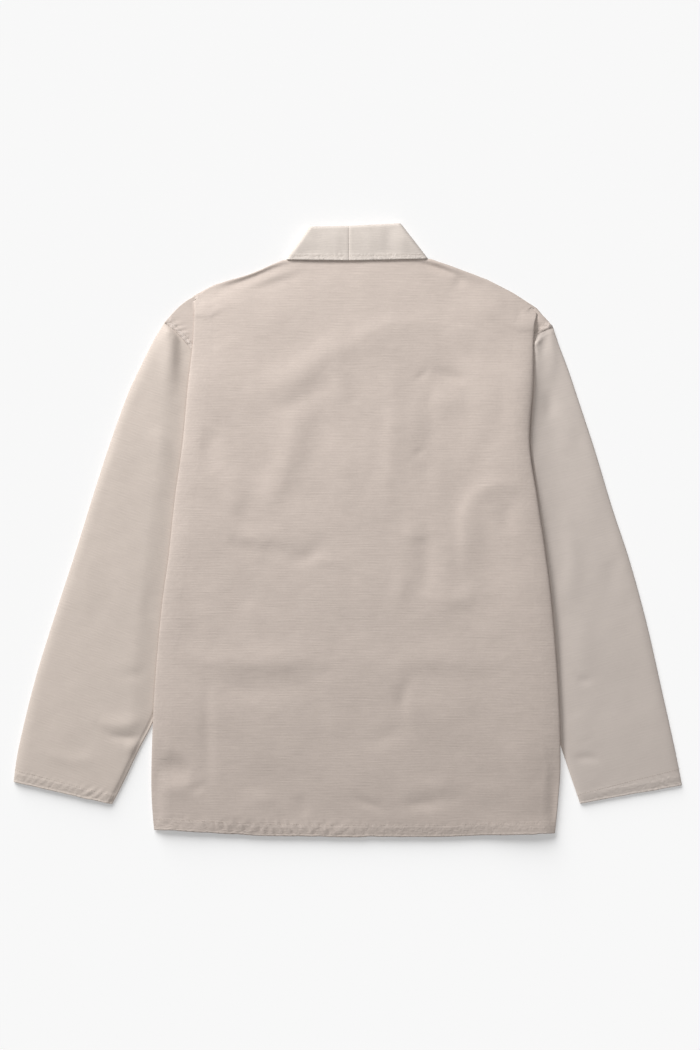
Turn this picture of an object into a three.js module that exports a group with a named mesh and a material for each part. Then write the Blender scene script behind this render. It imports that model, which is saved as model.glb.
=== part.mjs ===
// A chore shirt laid flat on its front, with its back up: a one-piece back folded over along
// both sides, two fronts under it, set-in sleeves tucked under the body, a turned-down collar.
// Millimetres, +Z up, +Y toward the collar. The working frame has x across from the centre
// back and "up" as the height above the hem; the last lines move it to the middle of the box.
import * as THREE from "three";

// Driving dimensions.
const WALL = 1.2; // the cloth
const GAP = 0.4; // between two layers, and at a seam
const LAYER = WALL + GAP; // height that each layer adds to the stack
const BEND = LAYER / 2; // radius of the middle of the cloth where it folds back on itself
const LAP = 16; // each front passes the centre front by this much
const FRONT_AT_NECK = { x: 0, up: 668 };
const FRONT_AT_HEM = { x: 18, up: 0 };
const BUTTON = { diameter: 18, thickness: 2.4, first: 636, pitch: 122, count: 5 };
const POCKET = { width: 149, height: 188, bottom: 55, left: 105.5, right: 138.5, corner: 12, mouth: 22 };
const TURN_STEPS = 3; // flat faces around a fold of the cloth
const ROLL_STEPS = 4; // flat faces around the collar's roll
const BODY_STEPS = 20; // columns across the back, between its folded edges
const FRONT_STEPS = 12; // columns across each front
const SHED = 40; // the back comes down from its folded edges over this width
const BACK_SPREAD = 12; // what lifts the fronts lifts the back over this much more

// Sections of the body from the shoulder line to the hem. "edge" is the folded edge, "bend" the
// inner end of the fold, "seam" the seam to the sleeve and then to the front, as distances from
// the centre line; turn 1 is a fold right over, and smaller values are its start.
const MID_UP = [744, 724, 704, 684, 663, 625, 582, 506, 431, 357, 290, 187, 93, 41, -4];
const SIDE_ROWS = {
  left: [
    { edge: 206, edgeUp: 692, bend: 203, seam: 243, seamUp: 656, turn: 0.08 },
    { edge: 205, edgeUp: 677, bend: 199, seam: 235, seamUp: 650, turn: 0.62 },
    { edge: 205, edgeUp: 661, bend: 196, seam: 227, seamUp: 643, turn: 1 },
    { edge: 206, edgeUp: 645, bend: 193, seam: 218, seamUp: 633, turn: 1 },
    { edge: 207, edgeUp: 629, bend: 190, seam: 209, seamUp: 621, turn: 1 },
    { edge: 210, edgeUp: 603, bend: 187, seam: 201, seamUp: 598, turn: 1 },
    { edge: 214, edgeUp: 568, bend: 185, seam: 196, seamUp: 566, turn: 1 },
    { edge: 220, edgeUp: 502, bend: 182, seam: 191, seamUp: 500, turn: 1 },
    { edge: 230, edgeUp: 430, bend: 181, seam: 190, seamUp: 430, turn: 1 },
    { edge: 238, edgeUp: 356, bend: 184, seam: 192, seamUp: 356, turn: 1 },
    { edge: 247, edgeUp: 289, bend: 198, seam: 206, seamUp: 289, turn: 1 },
    { edge: 256, edgeUp: 186, bend: 216, seam: 224, seamUp: 186, turn: 1 },
    { edge: 260, edgeUp: 93, bend: 229, seam: 237, seamUp: 93, turn: 1 },
    { edge: 260, edgeUp: 45, bend: 232, seam: 240, seamUp: 45, turn: 1 },
    { edge: 257, edgeUp: 5, bend: 234, seam: 242, seamUp: 5, turn: 1 },
  ],
  right: [
    { edge: 235, edgeUp: 676, bend: 231, seam: 255, seamUp: 651, turn: 0.08 },
    { edge: 234, edgeUp: 666, bend: 227, seam: 249, seamUp: 648, turn: 0.62 },
    { edge: 232, edgeUp: 655, bend: 223, seam: 243, seamUp: 645, turn: 1 },
    { edge: 231, edgeUp: 643, bend: 217, seam: 236, seamUp: 640, turn: 1 },
    { edge: 230, edgeUp: 629, bend: 207, seam: 227, seamUp: 630, turn: 1 },
    { edge: 230, edgeUp: 603, bend: 195, seam: 211, seamUp: 604, turn: 1 },
    { edge: 229, edgeUp: 568, bend: 188, seam: 200, seamUp: 568, turn: 1 },
    { edge: 225, edgeUp: 500, bend: 184, seam: 193, seamUp: 500, turn: 1 },
    { edge: 235, edgeUp: 430, bend: 183, seam: 192, seamUp: 430, turn: 1 },
    { edge: 246, edgeUp: 356, bend: 186, seam: 194, seamUp: 356, turn: 1 },
    { edge: 254, edgeUp: 289, bend: 199, seam: 207, seamUp: 289, turn: 1 },
    { edge: 262, edgeUp: 186, bend: 221, seam: 229, seamUp: 186, turn: 1 },
    { edge: 265, edgeUp: 93, bend: 232, seam: 240, seamUp: 93, turn: 1 },
    { edge: 262, edgeUp: 41, bend: 234, seam: 242, seamUp: 41, turn: 1 },
    { edge: 258, edgeUp: 1, bend: 235, seam: 243, seamUp: 1, turn: 1 },
  ],
};
const ARMHOLE_ROWS = 9; // the seam runs along the armhole down to this section
// The top of the body: the neck seam, then the shoulder out to the armhole.
const SHOULDER_LINE = {
  left: [
    { out: 0, up: 744 },
    { out: 83, up: 737.5 },
    { out: 105, up: 732 },
    { out: 140, up: 718 },
    { out: 180, up: 705 },
    { out: 206, up: 692 },
    { out: 243, up: 656 },
  ],
  right: [
    { out: 0, up: 744 },
    { out: 91, up: 738.5 },
    { out: 111, up: 733 },
    { out: 141, up: 721 },
    { out: 172, up: 710 },
    { out: 204, up: 694 },
    { out: 235, up: 676 },
    { out: 255, up: 651 },
  ],
};
// Sections of each sleeve from the armhole to the cuff: its outer and inner edges, and how much
// of the armhole's curve it keeps.
const SLEEVE_ROWS = {
  left: [
    { outer: 243, outerUp: 656, inner: 193, innerUp: 357, curve: 1 },
    { outer: 255, outerUp: 633, inner: 199, innerUp: 344, curve: 0.88 },
    { outer: 271, outerUp: 599, inner: 206, innerUp: 325, curve: 0.7 },
    { outer: 288, outerUp: 562, inner: 213, innerUp: 305, curve: 0.5 },
    { outer: 311, outerUp: 498, inner: 223, innerUp: 270, curve: 0.3 },
    { outer: 334, outerUp: 430, inner: 230, innerUp: 232, curve: 0.14 },
    { outer: 358, outerUp: 356, inner: 243, innerUp: 191, curve: 0.05 },
    { outer: 383, outerUp: 276, inner: 257, innerUp: 147, curve: 0 },
    { outer: 406, outerUp: 198, inner: 277, innerUp: 107, curve: 0 },
    { outer: 427, outerUp: 112, inner: 297, innerUp: 65, curve: 0 },
    { outer: 437, outerUp: 66, inner: 311, innerUp: 38, curve: 0 },
  ],
  right: [
    { outer: 255, outerUp: 651, inner: 195, innerUp: 357, curve: 1 },
    { outer: 264, outerUp: 627, inner: 201, innerUp: 344, curve: 0.88 },
    { outer: 276, outerUp: 595, inner: 207, innerUp: 325, curve: 0.7 },
    { outer: 290, outerUp: 553, inner: 214, innerUp: 304, curve: 0.5 },
    { outer: 315, outerUp: 492, inner: 224, innerUp: 268, curve: 0.3 },
    { outer: 332, outerUp: 419, inner: 231, innerUp: 230, curve: 0.14 },
    { outer: 354, outerUp: 349, inner: 242, innerUp: 191, curve: 0.05 },
    { outer: 376, outerUp: 268, inner: 255, innerUp: 147, curve: 0 },
    { outer: 395, outerUp: 184, inner: 270, innerUp: 101, curve: 0 },
    { outer: 411, outerUp: 112, inner: 282, innerUp: 65, curve: 0 },
    { outer: 419, outerUp: 63, inner: 291, innerUp: 39, curve: 0 },
  ],
};
const SLEEVE_STEPS = 14; // rings along a sleeve
const SEAM_STEP = new THREE.Vector2(0.5, -0.3); // clears the sleeve from the armhole seam
const SLEEVE_LOFT = 3; // the upper side of a sleeve stands this much higher, clear of the body

// The collar's three lines: the seam to the neck, the line where it rolls over, the free edge.
// Each runs from the centre back to the side of the neck, and on below to the front.
const COLLAR_LINES = {
  left: {
    neck: { back: 744.8, side: 83, sideUp: 738.5, front: 1, frontUp: 668.5 },
    roll: { back: 780, side: 57, sideUp: 779, front: 4, frontUp: 692 },
    edge: { back: 736, side: 87, sideUp: 737, front: 50, frontUp: 641 },
  },
  right: {
    neck: { back: 744.8, side: 91, sideUp: 739.5, front: 1, frontUp: 668.5 },
    roll: { back: 780, side: 60, sideUp: 783, front: 4, frontUp: 692 },
    edge: { back: 736, side: 95, sideUp: 738, front: 50, frontUp: 641 },
  },
};

// The largest soft ridges of the back, and of the upper side of each sleeve.
const BACK_RIDGES = [
  { x: -54, up: 616, toX: -112, toUp: 582, rise: 3.2, reach: 15 },
  { x: -31, up: 618, toX: 39, toUp: 657, rise: 2.2, reach: 16 },
  { x: 39, up: 657, toX: 112, toUp: 662, rise: 2, reach: 16 },
  { x: -80, up: 545, toX: -118, toUp: 446, rise: 3.2, reach: 16 },
  { x: -150, up: 722, toX: -95, toUp: 700, rise: 1.6, reach: 14 },
  { x: 112, up: 590, toX: 176, toUp: 455, rise: 2.6, reach: 22 },
  { x: 176, up: 455, toX: 118, toUp: 330, rise: 2.4, reach: 20 },
  { x: 118, up: 330, toX: 96, toUp: 268, rise: 2.6, reach: 18 },
  { x: -130, up: 352, toX: -62, toUp: 356, rise: 1.8, reach: 16 },
  { x: -176, up: 250, toX: -30, toUp: 252, rise: 2, reach: 15 },
  { x: 66, up: 250, toX: 180, toUp: 246, rise: 1.8, reach: 15 },
];
const SLEEVE_RIDGES = {
  left: [
    { x: -262, up: 560, toX: -292, toUp: 440, rise: 2.2, reach: 14 },
    { x: -330, up: 330, toX: -368, toUp: 190, rise: 1.8, reach: 18 },
    { x: -300, up: 118, toX: -345, toUp: 150, rise: 1.6, reach: 12 },
  ],
  right: [
    { x: 262, up: 590, toX: 288, toUp: 470, rise: 2.2, reach: 14 },
    { x: 322, up: 350, toX: 356, toUp: 215, rise: 1.8, reach: 18 },
    { x: 318, up: 120, toX: 372, toUp: 150, rise: 1.6, reach: 12 },
  ],
};

const SIGN = { left: -1, right: 1 };
const lerp = THREE.MathUtils.lerp;
const smooth = (value, from, to) => THREE.MathUtils.smoothstep(value, from, to);

// The middle of the cloth in a layer, counted from 0 on the surface that the shirt lies on.
function layerHeight(layer) {
  return WALL / 2 + layer * LAYER;
}

// One column of a table at a place between its rows, on a smooth curve through them.
function column(table, name, at) {
  const last = table.length - 1;
  const row = Math.min(Math.floor(at), last - 1);
  const value = (i) => table[THREE.MathUtils.clamp(i, 0, last)][name];
  const [before, from, to, after] = [row - 1, row, row + 1, row + 2].map(value);
  const share = at - row;
  const bend = 2 * before - 5 * from + 4 * to - after;
  const twist = 3 * (from - to) + after - before;
  return from + (share * (to - before + share * (bend + share * twist))) / 2;
}

// A table whose rows are found by their own first column, with straight lines between them.
function between(table, key, name, at) {
  const next = Math.max(1, table.findIndex((row) => row[key] >= at));
  const [low, high] = [table[next - 1], table[next]];
  return lerp(low[name], high[name], (at - low[key]) / (high[key] - low[key]));
}

// How far a place lies outside a convex outline, given anticlockwise.
function outside(outline, x, up) {
  let most = -Infinity;
  outline.forEach(([ax, ay], i) => {
    const [bx, by] = outline[(i + 1) % outline.length];
    const long = Math.hypot(bx - ax, by - ay);
    most = Math.max(most, ((x - ax) * (by - ay) - (up - ay) * (bx - ax)) / long);
  });
  return most;
}

// The rise that a list of ridges gives at a place: each is a soft line with soft ends.
function ridges(list, x, up) {
  let rise = 0;
  for (const ridge of list) {
    const [dx, dy] = [ridge.toX - ridge.x, ridge.toUp - ridge.up];
    const along = ((x - ridge.x) * dx + (up - ridge.up) * dy) / (dx * dx + dy * dy);
    const near = THREE.MathUtils.clamp(along, 0, 1);
    const away = Math.hypot(x - ridge.x - near * dx, up - ridge.up - near * dy);
    rise = Math.max(rise, ridge.rise * Math.exp(-((away / ridge.reach) ** 2)));
  }
  return rise;
}

function centreFront(up) {
  const share = (FRONT_AT_NECK.up - up) / (FRONT_AT_NECK.up - FRONT_AT_HEM.up);
  return lerp(FRONT_AT_NECK.x, FRONT_AT_HEM.x, share);
}

// The outline of a pocket, with the stretch above its mouth that it also lifts.
function pocketOutline(side) {
  const middle = SIGN[side] * POCKET[side];
  const [low, high] = [middle - POCKET.width / 2, middle + POCKET.width / 2];
  const top = POCKET.bottom + POCKET.height + POCKET.mouth;
  return [
    [low, POCKET.bottom],
    [high, POCKET.bottom],
    [high, top],
    [low, top],
  ];
}

function collarLeafOutline(side) {
  const { neck, roll, edge } = COLLAR_LINES[side];
  const outline = [
    [roll.side, roll.sideUp],
    [edge.side, edge.sideUp],
    [edge.front + 4, edge.frontUp - 16],
    [neck.front, neck.frontUp],
    [roll.front, roll.sideUp],
  ].map(([x, up]) => [SIGN[side] * x, up]);
  return side === "left" ? outline : outline.reverse();
}

const RAISED = [
  pocketOutline("left"),
  pocketOutline("right"),
  collarLeafOutline("left"),
  collarLeafOutline("right"),
];

// What lies under the fronts lifts them: the pockets, the collar's ends and the buttons. "spread"
// widens each lift, so that the layer above clears the one below.
function lift(x, up, spread) {
  const away = Math.min(...RAISED.map((outline) => outside(outline, x, up)));
  const raised = LAYER * (1 - smooth(away, 6 + spread, 28 + 2 * spread));
  const off = Math.abs(x - centreFront(up));
  const strip = 1 - smooth(off, 26 + spread, 52 + 2 * spread);
  const below = 1 - smooth(up, FRONT_AT_NECK.up + 16, FRONT_AT_NECK.up + 52);
  return Math.max(raised, (BUTTON.thickness + GAP) * strip * below);
}

function lapLift(x, up, spread) {
  const off = Math.abs(x - centreFront(up));
  const below = 1 - smooth(up, FRONT_AT_NECK.up + 16, FRONT_AT_NECK.up + 52);
  return LAYER * below * (1 - smooth(off, LAP + 12 + spread, LAP + 38 + 2 * spread));
}

function backHeight(x, up) {
  const base = layerHeight(1) + lift(x, up, BACK_SPREAD) + lapLift(x, up, BACK_SPREAD);
  return base + ridges(BACK_RIDGES, x, up);
}

// A closed wall of cloth around its middle surface. "rows" holds rows of points; a ring's
// rows close on themselves, and every free border gets a rim.
function clothWall(rows, isRing = false) {
  const [height, width] = [rows.length, rows[0].length];
  const across = isRing ? width : width - 1;
  const positions = [];
  const point = (i, j) => rows[THREE.MathUtils.clamp(i, 0, height - 1)][
    isRing ? (j + width) % width : THREE.MathUtils.clamp(j, 0, width - 1)];
  for (const half of [WALL / 2, -WALL / 2]) {
    for (let i = 0; i < height; i++) {
      for (let j = 0; j < width; j++) {
        const down = point(i + 1, j).clone().sub(point(i - 1, j));
        const right = point(i, j + 1).clone().sub(point(i, j - 1));
        const normal = right.cross(down).normalize();
        positions.push(...point(i, j).clone().addScaledVector(normal, -half).toArray());
      }
    }
  }
  const index = (face, i, j) => face * height * width + i * width + (j % width);
  const triangles = [];
  const quad = (a, b, c, d) => triangles.push(a, b, c, a, c, d);
  for (let i = 0; i < height - 1; i++) {
    for (let j = 0; j < across; j++) {
      quad(index(0, i, j), index(0, i + 1, j), index(0, i + 1, j + 1), index(0, i, j + 1));
      quad(index(1, i, j), index(1, i, j + 1), index(1, i + 1, j + 1), index(1, i + 1, j));
    }
  }
  for (let j = 0; j < across; j++) {
    const end = height - 1;
    quad(index(0, 0, j), index(0, 0, j + 1), index(1, 0, j + 1), index(1, 0, j));
    quad(index(0, end, j), index(1, end, j), index(1, end, j + 1), index(0, end, j + 1));
  }
  for (let i = 0; i < height - 1 && !isRing; i++) {
    const end = width - 1;
    quad(index(0, i, 0), index(1, i, 0), index(1, i + 1, 0), index(0, i + 1, 0));
    quad(index(0, i, end), index(0, i + 1, end), index(1, i + 1, end), index(1, i, end));
  }
  const geometry = new THREE.BufferGeometry();
  geometry.setAttribute("position", new THREE.Float32BufferAttribute(positions, 3));
  geometry.setIndex(triangles);
  return facingOut(geometry);
}

// Turns every face round if the closed surface faces in.
function facingOut(geometry) {
  const [at, index] = [geometry.attributes.position, geometry.index.array];
  const corner = (i) => new THREE.Vector3().fromBufferAttribute(at, index[i]);
  let volume = 0;
  for (let i = 0; i < index.length; i += 3) {
    volume += corner(i).dot(corner(i + 1).cross(corner(i + 2)));
  }
  if (volume < 0) {
    for (let i = 0; i < index.length; i += 3) {
      [index[i], index[i + 1]] = [index[i + 1], index[i]];
    }
  }
  return geometry;
}

function sideAt(side, at) {
  const values = {};
  for (const name of Object.keys(SIDE_ROWS[side][0])) {
    values[name] = column(SIDE_ROWS[side], name, at);
  }
  values.turn = Math.min(values.turn, 1);
  return values;
}

// Below the sleeves nothing holds the folded edge up, so it sinks to the surface.
function sink(out, up, seam) {
  const free = 1 - smooth(up, 60, 135);
  return 2 * LAYER * free * smooth(out, seam + 1, seam + 15);
}

// One side of the back in a section, from the seam to the end of the upper run: the low run to
// the inner bend, the return to the folded edge, and the turn over it.
function sideFold(side, at) {
  const { edge, edgeUp, bend, seam, seamUp, turn } = sideAt(side, at);
  const angle = Math.PI * turn;
  const topOut = edge - BEND - WALL / 2;
  const run = Math.max(0.3, (topOut - bend) * turn ** 8);
  const low = layerHeight(1) + lift(SIGN[side] * bend, seamUp, BACK_SPREAD);
  const top = low + 2 * BEND * (1 - Math.cos(angle)) + run * Math.sin(angle);
  const fold = [];
  const turnAt = (step) => (angle * step) / TURN_STEPS;
  for (let step = 0; step <= TURN_STEPS; step++) {
    const a = turnAt(step);
    fold.push([topOut + BEND * Math.sin(a), top - BEND * (1 - Math.cos(a))]);
  }
  const [edgeOut, edgeTop] = fold[TURN_STEPS];
  const back = (share) => [
    edgeOut + share * run * Math.cos(angle),
    edgeTop - share * run * Math.sin(angle),
  ];
  fold.push(back(0.5));
  const [bendOut, bendTop] = back(1);
  for (let step = TURN_STEPS; step >= 0; step--) {
    const a = turnAt(step);
    const out = bendOut + BEND * (Math.sin(angle) - Math.sin(a));
    fold.push([out, bendTop + BEND * (Math.cos(angle) - Math.cos(a))]);
  }
  const [lowOut] = fold[fold.length - 1];
  const points = fold.map(([out, z]) => [out, edgeUp, z]);
  for (const share of [0.5, 1]) {
    points.push([lerp(lowOut, seam, share), lerp(edgeUp, seamUp, share), low]);
  }
  return points
    .map(([out, up, z]) => new THREE.Vector3(SIGN[side] * out, up, z - sink(out, up, seam)))
    .reverse();
}

// How far the top of the back rises above its end, out of the rise to the centre.
function shoulderShare(side, out) {
  const { edge, edgeUp } = SIDE_ROWS[side][0];
  const up = between(SHOULDER_LINE[side], "out", "up", out * edge);
  return (up - edgeUp) / (MID_UP[0] - edgeUp);
}

function backSection(at) {
  const left = sideFold("left", at);
  const right = sideFold("right", at).reverse();
  const ends = { left: left[left.length - 1], right: right[0] };
  const mid = column(MID_UP.map((up) => ({ up })), "up", at);
  const bends = { left: sideAt("left", at).bend, right: sideAt("right", at).bend };
  const middle = [];
  for (let step = 1; step < BODY_STEPS; step++) {
    const x = lerp(ends.left.x, ends.right.x, step / BODY_STEPS);
    const side = x < 0 ? "left" : "right";
    const end = ends[side];
    const up = lerp(end.y, mid, shoulderShare(side, x / end.x));
    const held = smooth(Math.abs(x), bends[side] - SHED, bends[side]);
    middle.push(new THREE.Vector3(x, up, lerp(backHeight(x, up), end.z, held)));
  }
  return [...left, ...middle, ...right];
}

// Places between the sections where the body gets a row of points.
function bodyRows() {
  const rows = [];
  for (let at = 0; at <= MID_UP.length - 1; at += at < ARMHOLE_ROWS ? 1 : 0.5) {
    rows.push(at);
  }
  return rows;
}

function makeBack() {
  return clothWall(bodyRows().map(backSection));
}

// The top of a front: level past the centre front, up the neckline, then out along the shoulder.
function frontTop(side, out) {
  const neck = COLLAR_LINES[side].neck;
  if (out > neck.side) {
    return between(SHOULDER_LINE[side], "out", "up", out);
  }
  const along = Math.max(0, (out - neck.front) / (neck.side - neck.front));
  return lerp(neck.frontUp - 4, neck.sideUp - 1, along);
}

// A front, from its seam to its edge past the centre front, lying on the surface.
function makeFront(side) {
  const shoulder = SIDE_ROWS[side][0];
  const lap = side === "right" ? 1 : 0;
  const edgeAt = (up) => centreFront(up) - SIGN[side] * LAP;
  const rows = bodyRows().map((at) => {
    const { seam, seamUp } = sideAt(side, at);
    const down = at / (MID_UP.length - 1);
    const frontUp = lerp(FRONT_AT_NECK.up, FRONT_AT_HEM.up, down ** 1.35);
    const row = [];
    for (let step = 0; step <= FRONT_STEPS; step++) {
      const share = step / FRONT_STEPS;
      const x = lerp(SIGN[side] * seam, edgeAt(frontUp), share);
      const topX = lerp(SIGN[side] * shoulder.seam, edgeAt(FRONT_AT_NECK.up), share);
      const top = frontTop(side, SIGN[side] * topX);
      const straight = lerp(shoulder.seamUp, FRONT_AT_NECK.up, share);
      const up = lerp(seamUp, frontUp, share) + (top - straight) * (1 - down) ** 3;
      const z = layerHeight(0) + lift(x, up, 0) + lap * lapLift(x, up, 0);
      row.push(new THREE.Vector3(x, up, z));
    }
    return row;
  });
  return clothWall(rows);
}

// A sleeve: rings of a flattened tube. The first follows the armhole, the last is the cuff.
function makeSleeve(side) {
  const table = SLEEVE_ROWS[side];
  const armhole = bodyRows().filter((at) => at <= ARMHOLE_ROWS).map((at) => sideAt(side, at));
  const seam = armhole.map((row) => new THREE.Vector2(row.seam, row.seamUp));
  const along = [0];
  seam.slice(1).forEach((point, i) => along.push(along[i] + point.distanceTo(seam[i])));
  const shares = along.map((length) => length / along[along.length - 1]);
  const [first, last] = [seam[0], seam[seam.length - 1]];
  const curve = seam.map((point, i) => point.clone().sub(first.clone().lerp(last, shares[i])));
  const rings = [];
  for (let step = 0; step <= SLEEVE_STEPS; step++) {
    const at = ((table.length - 1) * step) / SLEEVE_STEPS;
    const value = (name) => column(table, name, at);
    const outer = new THREE.Vector2(value("outer"), value("outerUp"));
    const inner = new THREE.Vector2(value("inner"), value("innerUp"));
    if (step === 0) {
      outer.add(SEAM_STEP);
      inner.add(SEAM_STEP);
    }
    rings.push(sleeveRing(side, outer, inner, shares, curve, Math.max(0, value("curve"))));
  }
  return clothWall(rings, true);
}

function sleeveRing(side, outer, inner, shares, curve, keep) {
  const width = inner.clone().sub(outer);
  const trim = (BEND + WALL / 2) / width.length();
  const flat = (i) => {
    const share = THREE.MathUtils.clamp(shares[i], trim, 1 - trim);
    return outer.clone().addScaledVector(width, share).addScaledVector(curve[i], keep);
  };
  const outward = width.clone().normalize().negate();
  const [low, high] = [layerHeight(0), layerHeight(1)];
  const place = (point, z) => new THREE.Vector3(SIGN[side] * point.x, point.y, z);
  const turn = (end, way, from) => {
    const points = [];
    for (let step = 1; step < TURN_STEPS; step++) {
      const angle = (Math.PI * step) / TURN_STEPS;
      const point = end.clone().addScaledVector(outward, way * BEND * Math.sin(angle));
      points.push(place(point, (low + high) / 2 + from * BEND * Math.cos(angle)));
    }
    return points;
  };
  const places = shares.map((share, i) => flat(i));
  const upper = places.map((point) => place(point, high + sleeveLoft(side, point, outer)));
  const under = places.map((point) => place(point, low)).reverse();
  const ends = [places[0], places[places.length - 1]];
  return [...upper, ...turn(ends[1], -1, 1), ...under, ...turn(ends[0], 1, -1)];
}

// The upper side of a sleeve stands higher where the body doesn't hold it down.
function sleeveLoft(side, point, outer) {
  const rows = SIDE_ROWS[side];
  const below = rows.findIndex((row) => row.edgeUp <= point.y);
  const next = below < 0 ? rows.length - 1 : Math.max(1, below);
  const [from, to] = [rows[next - 1], rows[next]];
  const share = (from.edgeUp - point.y) / (from.edgeUp - to.edgeUp);
  const clear = point.x - lerp(from.edge, to.edge, THREE.MathUtils.clamp(share, 0, 1));
  const free = smooth(clear, 12, 40) * smooth(outer.distanceTo(point), 1, 30);
  return free * (SLEEVE_LOFT + ridges(SLEEVE_RIDGES[side], SIGN[side] * point.x, point.y));
}

// Half of the collar: the stand from the neck seam up to the roll line, and the fall from there
// down to its free edge. The whole wraps around the side of the neck and ends under the front.
function makeCollar(side) {
  const { neck, roll, edge } = COLLAR_LINES[side];
  const middle = (layerHeight(1) + layerHeight(2)) / 2;
  const stations = [];
  for (let step = 0; step <= 5; step++) {
    stations.push({ part: "back", share: step / 5 });
  }
  for (let step = 1; step < TURN_STEPS; step++) {
    stations.push({ part: "turn", share: step / TURN_STEPS });
  }
  for (let step = 0; step <= 5; step++) {
    stations.push({ part: "front", share: step / 5 });
  }
  // Where a line of the collar is at a station, for cloth that turns with the given radius.
  const lineAt = (line, { part, share }, radius) => {
    const sideOut = line.side - WALL / 2 - radius;
    if (part === "back") {
      return new THREE.Vector3(lerp(GAP / 2, sideOut, share), lerp(line.back, line.sideUp, share), 1);
    }
    if (part === "turn") {
      const angle = Math.PI * share;
      return new THREE.Vector3(sideOut + radius * Math.sin(angle), line.sideUp, Math.cos(angle));
    }
    const [x, up] = [lerp(sideOut, line.front, share), lerp(line.sideUp, line.frontUp, share)];
    return new THREE.Vector3(x, up, -1);
  };
  const rings = [];
  const addRing = (line, share, radius, near) => {
    rings.push(stations.map((station) => {
      const from = lineAt(roll, station, radius);
      const to = lineAt(line, station, radius);
      const long = Math.hypot(to.x - from.x, to.y - from.y);
      const point = from.clone().lerp(to, lerp(near / long, 1, share));
      return new THREE.Vector3(SIGN[side] * point.x, point.y, middle + radius * from.z);
    }));
  };
  for (const share of [1, 0.66, 0.33]) {
    addRing(neck, share, BEND, WALL / 2 + BEND);
  }
  for (let step = 0; step <= ROLL_STEPS; step++) {
    const angle = (Math.PI * step) / ROLL_STEPS;
    const near = WALL / 2 + BEND * (1 - Math.sin(angle));
    addRing(angle < Math.PI / 2 ? neck : edge, 0, BEND * (2 - Math.cos(angle)), near);
  }
  for (const share of [0.25, 0.5, 0.75, 1]) {
    addRing(edge, share, 3 * BEND, WALL / 2 + BEND);
  }
  return clothWall(rings);
}

function makePocket() {
  const { width, height, corner } = POCKET;
  const shape = new THREE.Shape();
  shape.moveTo(-width / 2, height);
  shape.lineTo(-width / 2, corner);
  shape.absarc(corner - width / 2, corner, corner, Math.PI, 1.5 * Math.PI, false);
  shape.absarc(width / 2 - corner, corner, corner, -Math.PI / 2, 0, false);
  shape.lineTo(width / 2, height);
  return new THREE.ExtrudeGeometry(shape, { depth: WALL, bevelEnabled: false, curveSegments: 4 });
}

// A sewn button with a raised rim, face down on the surface.
function makeButton() {
  const radius = BUTTON.diameter / 2;
  const profile = [
    [0, 0.7],
    [radius - 3, 0.7],
    [radius - 2, 0],
    [radius - 0.6, 0],
    [radius, 1.2],
    [radius - 0.8, BUTTON.thickness],
    [0, BUTTON.thickness],
  ].map(([out, z]) => new THREE.Vector2(out, z));
  return new THREE.LatheGeometry(profile, 12).rotateX(Math.PI / 2);
}

const cloth = { color: 0xcbbcae, roughness: 0.95, metalness: 0 };
const resin = { color: 0xa89680, roughness: 0.45, metalness: 0 };

function addMesh(group, name, geometry, finish) {
  const mesh = new THREE.Mesh(geometry, new THREE.MeshStandardMaterial(finish));
  mesh.name = name;
  group.add(mesh);
  return mesh;
}

const garment = new THREE.Group();
addMesh(garment, "back", makeBack(), cloth);
for (const side of ["left", "right"]) {
  addMesh(garment, "front_" + side, makeFront(side), cloth);
  addMesh(garment, "sleeve_" + side, makeSleeve(side), cloth);
  addMesh(garment, "collar_" + side, makeCollar(side), cloth);
  const pocket = addMesh(garment, "pocket_" + side, makePocket(), cloth);
  pocket.position.set(SIGN[side] * POCKET[side], POCKET.bottom, 0);
}
for (let i = 0; i < BUTTON.count; i++) {
  const up = BUTTON.first - i * BUTTON.pitch;
  const button = addMesh(garment, "button_" + (i + 1), makeButton(), resin);
  button.position.set(centreFront(up), up, 0);
}

// The part's origin is the middle of the bottom of its box.
const box = new THREE.Box3().setFromObject(garment, true);
const middle = box.getCenter(new THREE.Vector3());
garment.position.set(-middle.x, -middle.y, -box.min.z);
const shirt = new THREE.Group();
shirt.add(garment);

export default shirt;
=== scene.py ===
"""A chore shirt laid flat on its front, back up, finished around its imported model.

Shapes are worked out in millimetres in the shirt's own frame: x across from the centre back,
up above the hem, z above the surface it lies on. to_frame() brings them into the model's frame.
"""
import math

import bpy
import numpy as np
from mathutils import Matrix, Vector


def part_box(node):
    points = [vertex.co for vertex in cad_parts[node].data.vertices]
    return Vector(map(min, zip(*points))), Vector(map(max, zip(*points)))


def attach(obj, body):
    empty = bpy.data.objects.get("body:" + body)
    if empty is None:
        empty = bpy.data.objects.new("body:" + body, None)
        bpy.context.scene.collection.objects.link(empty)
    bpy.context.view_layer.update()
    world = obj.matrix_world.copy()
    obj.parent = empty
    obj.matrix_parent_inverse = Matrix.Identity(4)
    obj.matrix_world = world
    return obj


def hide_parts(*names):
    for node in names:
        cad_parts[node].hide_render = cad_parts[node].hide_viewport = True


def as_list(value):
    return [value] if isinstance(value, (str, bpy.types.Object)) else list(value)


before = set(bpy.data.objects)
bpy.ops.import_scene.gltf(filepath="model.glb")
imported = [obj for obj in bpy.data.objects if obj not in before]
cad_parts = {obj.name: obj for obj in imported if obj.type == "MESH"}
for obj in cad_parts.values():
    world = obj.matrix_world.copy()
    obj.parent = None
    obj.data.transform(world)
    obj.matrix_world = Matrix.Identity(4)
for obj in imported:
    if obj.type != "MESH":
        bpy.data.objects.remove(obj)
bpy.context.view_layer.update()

MM = 0.001
SIDES = ("left", "right")
SIGN = {"left": -1, "right": 1}

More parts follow.
